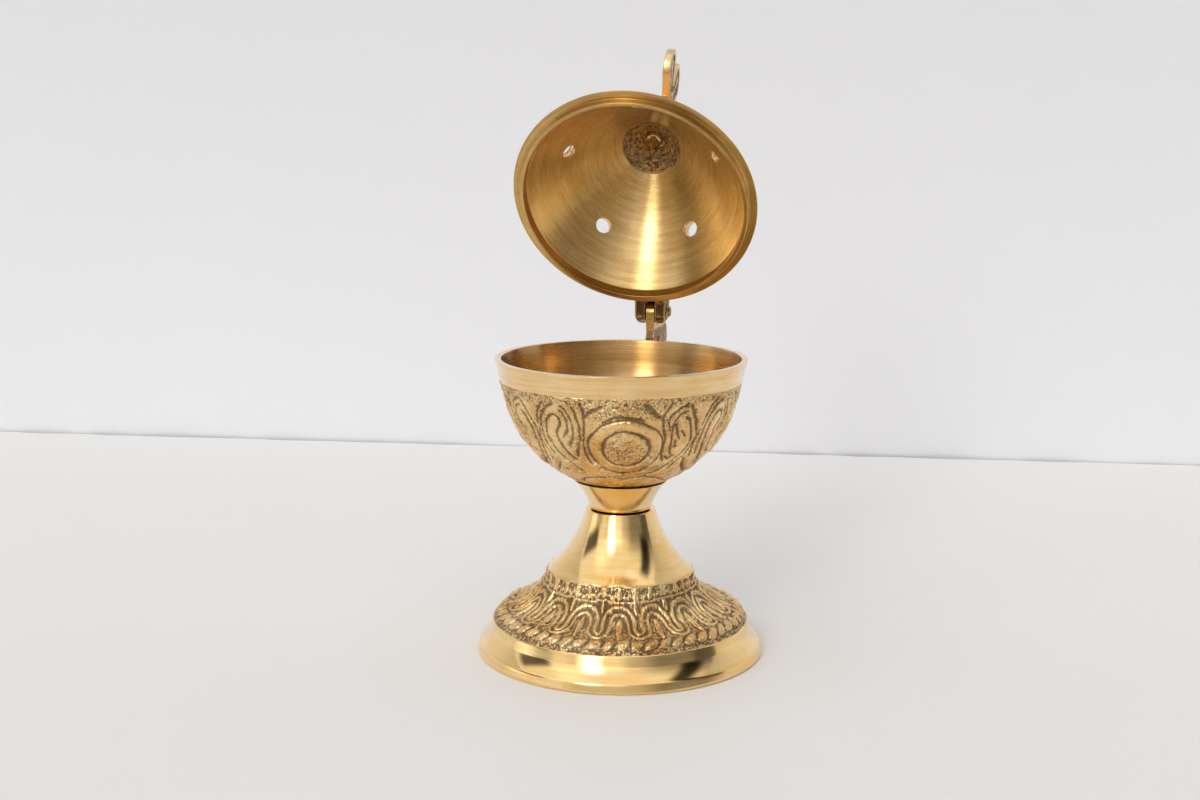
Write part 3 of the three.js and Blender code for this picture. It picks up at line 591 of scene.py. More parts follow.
def grid_object(name, points, attributes, material_rows, materials, place):
    """Smooth quad mesh that closes in both directions. The points are rows x columns x 3, in mm.

    Its place is in its mesh, so that its box is the tight one.
    """
    rows, columns = points.shape[:2]
    mesh = bpy.data.meshes.new(name)
    index = np.arange(rows * columns).reshape(rows, columns)
    down = np.roll(index, -1, 0)
    quads = np.stack([index, np.roll(index, -1, 1), np.roll(down, -1, 1), down], -1).reshape(-1, 4)
    mesh.vertices.add(rows * columns)
    mesh.vertices.foreach_set("co", (points * MM).astype(np.float32).ravel())
    mesh.loops.add(quads.size)
    mesh.loops.foreach_set("vertex_index", quads.astype(np.int32).ravel())
    mesh.polygons.add(len(quads))
    mesh.polygons.foreach_set("loop_start", np.arange(0, quads.size, 4, dtype=np.int32))
    mesh.polygons.foreach_set("loop_total", np.full(len(quads), 4, np.int32))
    mesh.polygons.foreach_set("use_smooth", np.ones(len(quads), bool))
    for material in materials:
        mesh.materials.append(material)
    mesh.polygons.foreach_set("material_index", np.repeat(material_rows, columns).astype(np.int32))
    mesh.update(calc_edges=True)
    column = np.arange(columns) / columns
    row = (np.arange(rows) / rows)[:, None]
    around = np.stack([column, column + 1 / columns, column + 1 / columns, column], -1)
    down_share = np.stack([row, row, row + 1 / rows, row + 1 / rows], -1)
    shape = (rows, columns, 4)
    chart = np.stack([np.broadcast_to(around, shape), np.broadcast_to(down_share, shape)], -1)
    mesh.uv_layers.new(name=CHART).data.foreach_set("uv", chart.astype(np.float32).ravel())
    for label, values in attributes.items():
        kind = "FLOAT_VECTOR" if values.ndim == 3 else "FLOAT"
        layer = mesh.attributes.new(label, kind, "POINT")
        field = "vector" if values.ndim == 3 else "value"
        layer.data.foreach_set(field, values.astype(np.float32).ravel())
    mesh.transform(place)
    mesh.validate()
    piece = bpy.data.objects.new(name, mesh)
    bpy.context.scene.collection.objects.link(piece)
    return piece


def turned_piece(name, skin, height, attributes, material_rows, materials, place):
    """Turns a skin about Z and lifts it along its normals by a height field."""
    theta = np.linspace(0, 2 * np.pi, AROUND, endpoint=False)
    r = skin.points[:, None, 0] + height * skin.normal[:, None, 0]
    z = skin.points[:, None, 1] + height * skin.normal[:, None, 1]
    points = np.stack([r * np.cos(theta), r * np.sin(theta), z * np.ones_like(theta)], -1)
    ring = np.broadcast_to(theta, points.shape[:2])
    length = np.broadcast_to(skin.run[:, None], points.shape[:2])
    attributes["turning"] = np.stack([np.cos(ring), np.sin(ring), length], -1)
    return grid_object(name, points, attributes, material_rows, materials, place)


def front_angles():
    """Angle of each column in degrees from the front, -Y, towards +X."""
    return np.degrees(np.linspace(0, 2 * np.pi, AROUND, endpoint=False)) + 90


# Materials

def colour(red, green, blue):
    """Linear colour from a screen colour of 0 to 255."""
    parts = [value / 255 for value in (red, green, blue)]
    linear = [p / 12.92 if p <= 0.04045 else ((p + 0.055) / 1.055) ** 2.4 for p in parts]
    return (*linear, 1)


GOLD = colour(247, 201, 120)
PALE_GOLD = colour(250, 216, 158)
CAST_GOLD = colour(252, 217, 154)
SEAT_GOLD = colour(222, 180, 96)
WARM_GOLD = colour(228, 176, 100)
BRONZE = colour(238, 203, 136)
PATINA = colour(74, 53, 30)
DARK_BROWN = colour(104, 74, 44)


class Nodes:
    """Short way to build a node material."""

    def __init__(self, name):
        self.material = bpy.data.materials.new(name)
        self.material.use_nodes = True
        self.tree = self.material.node_tree
        self.tree.nodes.clear()
        self.output = self.tree.nodes.new("ShaderNodeOutputMaterial")

    def add(self, kind, inputs=None, **settings):
        node = self.tree.nodes.new("ShaderNode" + kind)
        for key, value in settings.items():
            setattr(node, key, value)
        for key, value in (inputs or {}).items():
            self.put(node.inputs[key], value)
        return node

    def put(self, socket, value):
        if isinstance(value, bpy.types.NodeSocket):
            self.tree.links.new(value, socket)
        else:
            socket.default_value = value

    def math(self, operation, a, b=0.0, c=0.0, clamp=False):
        node = self.add("Math", operation=operation, use_clamp=clamp)
        for socket, value in zip(node.inputs, (a, b, c)):
            self.put(socket, value)
        return node.outputs[0]

    def mix(self, factor, a, b):
        node = self.add("Mix", data_type="RGBA")
        self.put(node.inputs[0], factor)
        self.put(node.inputs[6], a)
        self.put(node.inputs[7], b)
        return node.outputs[2]

    def spread(self, value, low, high, to_low=0.0, to_high=1.0):
        node = self.add("MapRange", interpolation_type="SMOOTHSTEP")
        for socket, amount in zip(node.inputs, (value, low, high, to_low, to_high)):
            self.put(socket, amount)
        return node.outputs[0]

    def noise(self, vector, scale, detail=3.0, roughness=0.5):
        node = self.add("TexNoise", {"Scale": scale, "Detail": detail, "Roughness": roughness})
        if vector is not None:
            self.put(node.inputs["Vector"], vector)
        return node.outputs["Fac"]

    def attribute(self, name, output="Fac"):
        return self.add("Attribute", attribute_name=name).outputs[output]

    def stretched(self, vector, scale):
        node = self.add("VectorMath", operation="MULTIPLY")
        self.put(node.inputs[0], vector)
        node.inputs[1].default_value = scale
        return node.outputs[0]

    def bump(self, height, distance, strength=1.0, normal=None):
        node = self.add("Bump", {"Strength": strength, "Distance": distance})
        self.put(node.inputs["Height"], height)
        if normal is not None:
            self.put(node.inputs["Normal"], normal)
        return node.outputs[0]

    def surface(self, shader):
        self.tree.links.new(shader, self.output.inputs["Surface"])

    def finish(self, shader):
        self.surface(shader)
        return self.material


def turned_brass(name, tint, deep_tint, roughness, lines, anisotropy, marks=0.35, coat=1.0):
    """Turned metal: fine lines around the axis, faint handling marks and a slightly uneven tone."""
    n = Nodes(name)
    turning = n.attribute("turning", "Vector")
    fine = n.noise(n.stretched(turning, (0.5, 0.5, 9.0)), 1.0, 4.0, 0.65)
    broad = n.noise(n.stretched(turning, (1.5, 1.5, 0.9)), 1.0, 3.0, 0.55)
    place = n.add("TexCoord").outputs["Object"]
    cloud = n.noise(place, 90.0, 4.0, 0.6)
    scuff = n.spread(n.noise(place, 1500.0, 2.0, 0.5), 0.68, 0.76)
    tone = n.math("MULTIPLY_ADD", broad, 0.6, n.math("MULTIPLY", cloud, 0.4))
    base = n.mix(n.spread(tone, 0.36, 0.66), deep_tint, tint)
    base = n.mix(n.math("MULTIPLY", scuff, 0.5 * marks), base, DARK_BROWN)
    shade = n.math("MULTIPLY_ADD", fine, 0.5 * roughness, 0.72 * roughness)
    shade = n.math("MULTIPLY_ADD", scuff, 0.12 * marks, shade)
    bump = n.bump(fine, lines * MM, 1.0)
    tangent = n.add("Tangent", direction_type="UV_MAP", uv_map=CHART).outputs[0]
    shader = n.add("BsdfPrincipled", {
        "Base Color": base,
        "Metallic": 1.0,
        "Roughness": shade,
        "Anisotropic": anisotropy,
        "Anisotropic Rotation": 0.25,
        "Tangent": tangent,
        "Normal": bump,
        "Coat Weight": coat,
        "Coat Roughness": 0.5 * roughness,
    })
    return n.finish(shader.outputs[0])


def cast_brass(name, tint, roughness=0.34, dark=1.0):
    """Cast metal with rubbed tops and dark patina in its recesses."""
    n = Nodes(name)
    patina = n.attribute("patina")
    rough = n.attribute("rough")
    place = n.add("TexCoord").outputs["Object"]
    fine = n.noise(place, 3200.0, 3.0, 0.6)
    speck = n.noise(place, 2200.0, 3.0, 0.6)
    cloud = n.noise(place, 120.0, 4.0, 0.6)
    soiled = n.math("MULTIPLY", n.spread(speck, 0.42, 0.62), n.math("MULTIPLY", rough, 0.75))
    soiled = n.math("ADD", patina, soiled)
    soiled = n.math("MULTIPLY", n.spread(soiled, 0.12, 0.95), n.spread(cloud, 0.25, 0.6, 0.8, 1.0))
    soiled = n.math("MULTIPLY", soiled, dark, clamp=True)
    tone = n.mix(n.spread(cloud, 0.35, 0.7), tint, WARM_GOLD)
    base = n.mix(soiled, tone, PATINA)
    shade = n.math("MULTIPLY_ADD", soiled, 0.4, n.math("MULTIPLY_ADD", rough, 0.12, roughness))
    bump = n.bump(fine, 0.03 * MM, 1.0)
    bump = n.bump(n.math("MULTIPLY", speck, rough), 0.09 * MM, 1.0, bump)
    metal = n.math("MULTIPLY_ADD", soiled, -0.55, 1.0)
    shader = n.add("BsdfPrincipled", {
        "Base Color": base,
        "Metallic": metal,
        "Roughness": shade,
        "Normal": bump,
        "Coat Weight": 0.6,
        "Coat Roughness": 0.3,
        "Coat Normal": bump,
    })
    return n.finish(shader.outputs[0])


def worn_brass(name, tint, dark_tint, edge, roughness=0.5, worn_above=None):
    """Brown casting that is rubbed bright along its edges, and above a height in metres if one is given."""
    n = Nodes(name)
    place = n.add("TexCoord").outputs["Object"]
    rounded = n.add("Bevel", {"Radius": edge * MM}, samples=6).outputs[0]
    flat = n.add("NewGeometry").outputs["Normal"]
    dot = n.add("VectorMath", operation="DOT_PRODUCT")
    n.put(dot.inputs[0], rounded)
    n.put(dot.inputs[1], flat)
    edges = n.math("SUBTRACT", 1.0, dot.outputs["Value"])
    blot = n.noise(place, 420.0, 4.0, 0.65)
    fine = n.noise(place, 2200.0, 3.0, 0.6)
    speckle = n.noise(place, 1500.0, 3.0, 0.6)
    worn = n.math("ADD", n.math("MULTIPLY", edges, 5.0), n.math("MULTIPLY", blot, 0.7))
    worn = n.math("ADD", worn, n.math("MULTIPLY", speckle, 0.45))
    if worn_above is not None:
        high = n.add("SeparateXYZ")
        n.put(high.inputs[0], place)
        upper = n.spread(high.outputs["Z"], worn_above - MM, worn_above + MM, 0.0, 0.3)
        worn = n.math("ADD", worn, upper)
    worn = n.spread(worn, 0.56, 0.8)
    base = n.mix(worn, dark_tint, tint)
    shade = n.math("MULTIPLY_ADD", worn, -0.2, roughness)
    bump = n.bump(fine, 0.05 * MM, 1.0)
    bump = n.bump(blot, 0.14 * MM, 1.0, bump)
    shader = n.add("BsdfPrincipled", {
        "Base Color": base,
        "Metallic": n.math("MULTIPLY_ADD", worn, 0.35, 0.6),
        "Roughness": shade,
        "Normal": bump,
    })
    return n.finish(shader.outputs[0])


polished = turned_brass("polished_brass", GOLD, CAST_GOLD, 0.12, 0.003, 0.3, 0.35, 0.6)
neck_brass = turned_brass("neck_brass", colour(252, 222, 156), CAST_GOLD, 0.13, 0.003, 0.3, 0.35, 0.6)
band = turned_brass("turned_band", PALE_GOLD, colour(236, 190, 122), 0.27, 0.012, 0.5)
seat = turned_brass("seat_brass", SEAT_GOLD, colour(176, 134, 70), 0.34, 0.016, 0.4, 1.0)
brushed = turned_brass("brushed_inside", BRONZE, colour(214, 174, 106), 0.28, 0.008, 0.9, 0.8)
# Darker copy of the brushed inside, used inside the bowl: its deeper tints are painted shade of the bowl's
# hollow.
painted_shade_brushed_bowl = turned_brass("painted_shade_brushed_bowl", colour(214, 172, 104), colour(196, 150, 82), 0.27, 0.006, 0.92,
                            0.6)
cast = cast_brass("cast_brass", CAST_GOLD, 0.24, 0.8)
cast_foot = cast_brass("cast_brass_foot", CAST_GOLD, 0.22, 0.88)
raw_cast = cast_brass("raw_casting", colour(186, 160, 116), 0.42, 0.8)
finial_cast = cast_brass("finial_brass", colour(224, 203, 164), 0.3, 0.95)
# Paler copy of turned brass for the stud in the lid's pocket: its pale tints are painted light, brightening
# a part that the pocket leaves in warm shade.
painted_light_stud_brass = turned_brass("painted_light_stud_brass", colour(250, 222, 160), colour(236, 200, 130), 0.2, 0.004, 0.2)
dark_casting = worn_brass("dark_brass", colour(224, 184, 116), DARK_BROWN, 0.5)
TONGUE_WORN_ABOVE = PIN.z - 4.6 * MM
tongue_casting = worn_brass("bracket_brass", colour(228, 188, 116), colour(134, 102, 70), 0.4, 0.42,
                            TONGUE_WORN_ABOVE)
fastener = worn_brass("fastener_brass", colour(214, 176, 110), colour(150, 112, 66), 0.3, 0.35)


# Pieces

class Carving:
    """Relief, patina, bare ground and material of every spot of a skin, before it is turned."""

    def __init__(self, skin):
        shape = (len(skin.points), AROUND)
        self.skin = skin
        self.height = np.zeros(shape)
        self.patina = np.zeros(shape)
        self.rough = np.zeros(shape)
        self.material = np.zeros(len(skin.points), int)

    def carve(self, low, high, relief, seed):
        """Relief between two corners of the outline, with its depths counted from the upper one."""
        rows = self.skin.between(low, high)
        depth = self.skin.length_along(rows)
        depth = (depth[-1] - depth)[::-1]
        rows = rows[::-1]
        height, rough = relief(front_angles(), depth, self.skin.points[rows, 0], seed)
        self.height[rows] = height
        self.patina[rows] = dirt(height, rough)
        self.rough[rows] = rough
        self.material[rows] = 1

    def turned(self, name, materials, place):
        fields = {"patina": self.patina, "rough": self.rough}
        return turned_piece(name, self.skin, self.height, fields, self.material, materials, place)


def make_foot():
    collar_top = (18.9, 21.9)
    band_top = (33.55, 8.6)
    band_foot = (34.35, 6.1)
    fine_step, plain_step = 0.2, 0.5

    def step(r, z):
        outside = r - 18 > (22 - z) * 0.9
        return fine_step if outside and 18.4 < r < 34 and 8 < z < 22.6 else plain_step

    points = closed_outline("foot", STAND)
    carving = Carving(Skin(dense_outline(points, step, [band_top, band_foot])))
    carving.carve(band_top, collar_top, foot_relief, GRAIN_SEED)
    return carving.turned("censer_foot", [polished, cast_foot], STAND)


def make_neck():
    skin = Skin(dense_outline(closed_outline("neck", STAND), lambda r, z: 0.4))
    plain_height = np.zeros((len(skin.points), AROUND))
    only = np.zeros(len(skin.points), int)
    return turned_piece("censer_neck", skin, plain_height, {}, only, [neck_brass], STAND)


def make_bowl():
    band_foot = (31.1, 71.67)
    floor_edge = (12, 45.7)
    rim_inner = (30.9, 77.42)
    inner_floor = (10, 49.6)
    fine_step, plain_step = 0.2, 0.5

    def step(r, z):
        outside = r > 10.8 + (z - 45.7) * 0.74
        return fine_step if outside and 46 < z < 72 and r > 12.5 else plain_step

    points = without_notches(closed_outline("bowl", STAND), floor_edge, band_foot)
    carving = Carving(Skin(dense_outline(points, step, [band_foot])))
    carving.carve(floor_edge, band_foot, bowl_relief, GRAIN_SEED + 40)
    # The bowl's inside takes the darker brushed copy, whose tint is painted shade.
    carving.material[carving.skin.between(rim_inner, inner_floor)] = 2
    return carving.turned("censer_bowl", [band, cast, painted_shade_brushed_bowl], STAND)


def make_lid():
    edge = (31.5, 1.6)
    crown = (9.6, 28.4)
    inner_low = (29.15, 0.8)
    inner_high = (8.25, 26.8)
    pocket = (2.9, 30.9)
    disc_step, fine_step, plain_step = 0.14, 0.22, 0.5

    def step(r, z):
        unturned = r < 8.4 and 26.6 < z < 31
        carved = r > 30.6 - (z - 1.6) * 0.8 and 1.6 < z < 28.6
        return disc_step if unturned else fine_step if carved else plain_step

    carving = Carving(Skin(dense_outline(closed_outline("lid", LID_FRAME), step)))
    skin = carving.skin
    carving.carve(edge, crown, lid_relief, GRAIN_SEED + 80)
    disc = skin.between(pocket, inner_high)
    unturned = disc[2:-2]
    shape = (len(unturned), AROUND)
    pitted = 0.08 * grain(shape, 1.6, GRAIN_SEED + 90, 7) + 0.06 * grain(shape, 0.9, GRAIN_SEED + 91, 4)
    carving.height[unturned] = pitted
    carving.patina[unturned] = np.clip(0.22 + 0.26 * grain(shape, 1.5, GRAIN_SEED + 92, 8), 0, 1)
    carving.rough[unturned] = 0.7
    inner = skin.between(inner_high, inner_low)
    for number, rows in (
        (4, skin.between(inner_low, edge)),
        (1, skin.between(edge, crown)),
        (2, inner),
        (3, disc),
    ):
        carving.material[rows] = number
    piece = carving.turned("censer_lid", [band, cast, brushed, raw_cast, seat], LID_FRAME)
    at_vent = inner[int(np.argmin(np.abs(skin.points[inner, 0] - VENT_PITCH_RADIUS)))]
    drill_vents(piece, skin.points[at_vent], -skin.normal[at_vent])
    return piece


def drill_vents(piece, spot, outward):
    """Cuts the round vents through the lid's wall, square to its inner side."""
    drill_length = 10 * MM
    drill_shift = 1.5 * MM
    lean = math.atan2(outward[0], outward[1])
    cutters = []
    for k in range(VENT_COUNT):
        drill = bmesh.new()
        bmesh.ops.create_cone(drill, cap_ends=True, segments=72, radius1=VENT_RADIUS * MM,
                              radius2=VENT_RADIUS * MM, depth=drill_length)
        for face in drill.faces:
            face.smooth = True
        mesh = bpy.data.meshes.new("drill")
        drill.to_mesh(mesh)
        drill.free()
        cutter = bpy.data.objects.new("drill", mesh)
        bpy.context.scene.collection.objects.link(cutter)
        place = Matrix.Rotation(math.radians(VENT_FIRST + k * VENT_PERIOD), 4, "Z")
        place = place @ Matrix.Translation((spot[0] * MM, 0, spot[1] * MM))
        place = place @ Matrix.Rotation(lean, 4, "Y") @ Matrix.Translation((0, 0, drill_shift))
        cutter.matrix_world = LID_FRAME @ place
        cutters.append(cutter)
        cut = piece.modifiers.new("vent", "BOOLEAN")
        cut.operation = "DIFFERENCE"
        cut.solver = "MANIFOLD"
        cut.object = cutter
    bpy.context.view_layer.update()
    drilled = bpy.data.meshes.new_from_object(piece.evaluated_get(bpy.context.evaluated_depsgraph_get()))
    piece.modifiers.clear()
    piece.data = drilled
    for cutter in cutters:
        bpy.data.objects.remove(cutter)


# Finial: an upright cross, drawn about its own middle, on a turned and threaded spindle.
CROSS_TURN = 7.6
CROSS_RISE = 52.8
CROSS_ARM = 15.8
CROSS_ROOT = 3.9
CROSS_END = 5.6
CROSS_BULGE = 3.9
CROSS_HALF = 1.1
CROSS_BEVEL = 0.3
SPINDLE_COLUMNS = 96
THREAD_PITCH = 0.75
THREAD_DEPTH = 0.26
STUD_RADIUS = 2.3
STUD_TIP = 26.1
STUD_SHOULDER = 29.9
STUD_TOP = 34.0

# Heights and radii of the collar and the stem above it.
spindle_profile = [(STUD_TOP, 2.3), (34.12, 3.4), (34.14, 3.95), (34.3, 4.1), (34.6, 4.05), (34.9, 3.7),
                   (35.3, 3.2), (35.9, 2.6), (36.5, 2.2), (36.8, 2.1), (37.2, 1.95), (38, 1.6), (39.2, 1.1)]


def cross_reach(angle):
    """Distance from the cross's middle to its edge."""
    turned = np.abs(np.mod(angle + np.pi / 4, np.pi / 2) - np.pi / 4)
    end_reach = CROSS_ARM - CROSS_BULGE
    bow = (CROSS_END ** 2 + CROSS_BULGE ** 2) / (2 * CROSS_BULGE)
    middle = CROSS_ARM - bow
    ended = middle * np.cos(turned) + np.sqrt(np.clip(bow ** 2 - (middle * np.sin(turned)) ** 2, 0, None))
    slope = (CROSS_END - CROSS_ROOT) / (end_reach - CROSS_ROOT)
    sided = (CROSS_ROOT - slope * CROSS_ROOT) / np.maximum(np.sin(turned) - slope * np.cos(turned), 1e-6)
    return np.where(turned > math.atan2(CROSS_END, end_reach), sided, ended)


def cross_grid():
    """Rows from the middle of one face over the edge to the middle of the other."""
    angle = np.linspace(0, 2 * np.pi, 480, endpoint=False)
    reach = cross_reach(angle)
    edge = np.stack([reach * np.cos(angle), reach * np.sin(angle)], -1)
    share = np.linspace(0, 1, 72)
    face = share[:, None] * (reach - CROSS_BEVEL)
    spots = np.stack([face * np.cos(angle), face * np.sin(angle)], -1)
    inset = np.array([np.min(np.linalg.norm(row[:, None] - edge[None], axis=2), axis=1) for row in spots])
    along = np.max(np.abs(spots), axis=2)
    off_axis = np.min(np.abs(spots), axis=2)
    centre = np.hypot(spots[..., 0], spots[..., 1])
    field = smoothstep(1.0, 1.45, inset)
    boss = smoothstep(3.1, 2.7, centre) - 0.6 * smoothstep(2.2, 1.9, centre)
    boss = boss + 0.5 * smoothstep(1.2, 0.8, centre)
    bud = smoothstep(1.5, 0.9, np.hypot((along - 11.6) * 0.75, off_axis))
    vein = smoothstep(0.55, 0.25, off_axis) * smoothstep(4, 5, along) * smoothstep(10.4, 9.6, along)
    raised = np.clip(boss + 0.8 * bud + 0.7 * vein, 0, 1)
    rough = np.clip(field * (1 - raised), 0, 1)
    height = -0.42 * field * (1 - raised)
    height += (0.02 + 0.05 * rough) * grain(height.shape, 1.6, GRAIN_SEED + 60)
    height = height * smoothstep(0, 0.06, share)[:, None]
    soil = smoothstep(0.02, 0.14, blurred(height, 2, 2) - height) + 0.55 * rough
    rim_share = np.radians(np.linspace(15, 90, 5))
    rim_reach = reach[None, :] - CROSS_BEVEL * (1 - np.sin(rim_share))[:, None]
    rim_high = (CROSS_HALF - CROSS_BEVEL + CROSS_BEVEL * np.cos(rim_share))[:, None]
    rim_high = np.broadcast_to(rim_high, rim_reach.shape)
    radius = np.concatenate([face, rim_reach, rim_reach[::-1], face[::-1]])
    face_high = CROSS_HALF + height
    high = np.concatenate([face_high, rim_high, -rim_high[::-1], -face_high[::-1]])
    still = np.zeros_like(rim_high)
    soiled = np.concatenate([soil, still, still, soil[::-1]])
    ground = np.concatenate([rough, still + 0.2, still + 0.2, rough[::-1]])
    points = np.stack([high, radius * np.cos(angle), CROSS_RISE + radius * np.sin(angle)], -1)
    return points, soiled, ground


def spindle_grid():
    """Rows up the spindle: a four-sided point, the thread, the collar and the stem."""
    angle = np.linspace(0, 2 * np.pi, SPINDLE_COLUMNS, endpoint=False)
    square = 1 / (np.abs(np.cos(angle)) + np.abs(np.sin(angle)))
    rows = [(STUD_TIP, np.zeros(SPINDLE_COLUMNS))]
    for z in np.linspace(STUD_TIP, STUD_SHOULDER, 24)[1:]:
        rows.append((z, (STUD_RADIUS - 0.1) * square * (z - STUD_TIP) / (STUD_SHOULDER - STUD_TIP)))
    for z in np.arange(STUD_SHOULDER, STUD_TOP, THREAD_PITCH / 12):
        turn = np.mod(z / THREAD_PITCH + angle / (2 * np.pi), 1)
        tooth = np.clip(1.3 - 2.6 * np.abs(turn - 0.5), 0, 1)
        start = smoothstep(STUD_SHOULDER, STUD_SHOULDER + 0.5, z)
        rows.append((z, STUD_RADIUS - THREAD_DEPTH * tooth - 0.3 * (1 - start)))
    for z, r in spindle_profile:
        rows.append((z, np.full(SPINDLE_COLUMNS, r)))
    rows.append((spindle_profile[-1][0], np.zeros(SPINDLE_COLUMNS)))
    heights = np.array([z for z, _ in rows])
    radius = np.array([r for _, r in rows])
    return np.stack([radius * np.cos(angle), radius * np.sin(angle), heights[:, None] + 0 * radius], -1)


def make_finial():
    """Cross and spindle in one mesh."""
    place = LID_FRAME @ Matrix.Rotation(math.radians(CROSS_TURN), 4, "Z")
    # The spindle's second material is the paler stud brass, whose tint is painted light.
    materials = [finial_cast, painted_light_stud_brass]
    points, soil, ground = cross_grid()
    fields = {"patina": soil, "rough": ground}
    piece = grid_object("censer_finial", points, fields, np.zeros(len(points), int), materials, place)
    points = spindle_grid()
    ground = np.full(points.shape[:2], 0.25)
    fields = {"patina": ground * 0.6, "rough": ground}
    spindle = grid_object("spindle", points, fields, np.ones(len(points), int), materials, place)
    both = bmesh.new()
    both.from_mesh(piece.data)
    both.from_mesh(spindle.data)
    bmesh.ops.remove_doubles(both, verts=both.verts, dist=1e-7)
    both.to_mesh(piece.data)
    both.free()
    bpy.data.objects.remove(spindle)
    return piece


for make, node, body, slot in (
    (make_foot, "foot", "base", "polished_brass"),
    (make_neck, "neck", "base", "polished_brass"),
    (make_bowl, "bowl", "base", "cast_brass"),
    (make_lid, "lid", "cover", "cast_brass"),
    (make_finial, "finial_cross", "cover", "cast_brass"),
):
    piece = make()
    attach(piece, body)
    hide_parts(node)

SOFT_EDGE = 0.2 * MM
SOFT_EDGE_ANGLE = math.radians(30)

for node, material in (
    ("bowl_hinge_bracket", tongue_casting),
    ("bracket_rivet_upper", dark_casting),
    ("bracket_rivet_lower", dark_casting),
    ("lid_hinge_fork", dark_casting),
    ("hinge_pin", dark_casting),
    ("stem_bolt", fastener),
    ("stem_washer", fastener),
    ("stem_nut", fastener),
):
    part = frame["nodes"][node]
    part.data.materials.clear()
    part.data.materials.append(material)
    soften = part.modifiers.new("soften", "BEVEL")
    soften.width = SOFT_EDGE
    soften.segments = 2
    soften.limit_method = "ANGLE"
    soften.angle_limit = SOFT_EDGE_ANGLE


# Stage

def plain(name, tint, roughness, drift, one_sided=False):
    """Plain matt surface. A one-sided one is clear when it is looked at from behind."""
    n = Nodes(name)
    place = n.add("TexCoord").outputs["Object"]
    cloud = n.noise(place, 6.0, 3.0, 0.5)
    base = n.mix(n.math("MULTIPLY", cloud, drift), tint, colour(214, 210, 206))
    shader = n.add("BsdfPrincipled", {"Base Color": base, "Roughness": roughness}).outputs[0]
    if one_sided:
        from_behind = n.add("NewGeometry").outputs["Backfacing"]
        looked_at = n.add("LightPath").outputs["Is Camera Ray"]
        clear = n.add("BsdfTransparent").outputs[0]
        both = n.add("MixShader")
        n.put(both.inputs[0], n.math("MULTIPLY", from_behind, looked_at))
        n.put(both.inputs[1], shader)
        n.put(both.inputs[2], clear)
        shader = both.outputs[0]
    return n.finish(shader)


def sheet(name, corners, material):
    mesh = bpy.data.meshes.new(name)
    mesh.from_pydata(corners, [], [tuple(range(len(corners)))])
    mesh.materials.append(material)
    obj = bpy.data.objects.new(name, mesh)
    bpy.context.scene.collection.objects.link(obj)


# Two spots of the line where the table meets the wall, and the extent of both.
WALL_LEFT = Vector((-0.310, 0.2006, 0))
WALL_RIGHT = Vector((0.184, 0.2521, 0))
TABLE_DEPTH = 0.62
STAGE_REACH = 2.5
WALL_HEIGHT = 2.5
WALL_FOOT = 0.02
along = (WALL_RIGHT - WALL_LEFT).normalized()
behind = Vector((-along.y, along.x, 0))
left = WALL_LEFT - along * STAGE_REACH
right = WALL_RIGHT + along * STAGE_REACH
front = -behind * TABLE_DEPTH


def floor_edge_spots():
    """Back edge of the table, which isn't quite straight and leaves a narrow gap before the wall."""
    count = 60
    least_gap, most_gap = 0.3, 2.2
    chance = random.Random(GRAIN_SEED)
    spots = [right]
    for k in range(count, -1, -1):
        spot = WALL_LEFT + (WALL_RIGHT - WALL_LEFT) * (1.3 * k / count - 0.15)
        spots.append(spot - behind * MM * chance.uniform(least_gap, most_gap))
    spots.append(left)
    return spots


floor_look = plain("pale_floor", colour(243, 242, 241), 0.6, 0.1)
sheet("floor", [left + front, right + front] + floor_edge_spots(), floor_look)
wall_look = plain("pale_wall", colour(240, 240, 242), 0.7, 0.08, one_sided=True)
lift = Vector((0, 0, WALL_HEIGHT))
drop = Vector((0, 0, -WALL_FOOT))
sheet("wall", [left + drop, right + drop, right + lift, left + lift], wall_look)


# Camera

SENSOR_WIDTH = 36
LENS = 48.483
CAMERA_DISTANCE = 0.410662
CAMERA_HEIGHT = 0.140252
PITCH = math.radians(10.227)
YAW = math.radians(-0.7595)
ROLL = math.radians(0.169)
OBJECT_TURN = math.radians(12.186)


def aim_camera():
    camera = bpy.data.objects.new("camera", bpy.data.cameras.new("camera"))
    bpy.context.scene.collection.objects.link(camera)
    camera.data.sensor_width = SENSOR_WIDTH
    camera.data.lens = LENS
    turn = Matrix.Rotation(OBJECT_TURN, 3, "Z")
    ahead = Vector((math.sin(YAW) * math.cos(PITCH), math.cos(YAW) * math.cos(PITCH), -math.sin(PITCH)))
    level = Vector((math.cos(YAW), -math.sin(YAW), 0))
    upward = level.cross(ahead)
    side = math.cos(ROLL) * level + math.sin(ROLL) * upward
    top = -math.sin(ROLL) * level + math.cos(ROLL) * upward
    axes = Matrix((turn @ side, turn @ top, turn @ -ahead)).transposed()
    place = turn @ Vector((0, -CAMERA_DISTANCE, CAMERA_HEIGHT)) + Vector((0, AXIS_Y, 0))
    camera.matrix_world = Matrix.Translation(place) @ axes.to_4x4()
    bpy.context.scene.camera = camera


aim_camera()


# Light

LAMP_SIZE = 1.2
LAMP_POWER = 0.9
LAMP_DISTANCE = 1.3
MIDDLE = Vector((0, AXIS_Y, 0.07))


def camera_side(azimuth, elevation, distance):
    """Spot around the censer: azimuth in degrees from the camera's side towards its right."""
    turn = OBJECT_TURN + math.radians(azimuth) - math.pi / 2
    flat = distance * math.cos(math.radians(elevation))
    up = distance * math.sin(math.radians(elevation))
    return Vector((flat * math.cos(turn), AXIS_Y + flat * math.sin(turn), up))


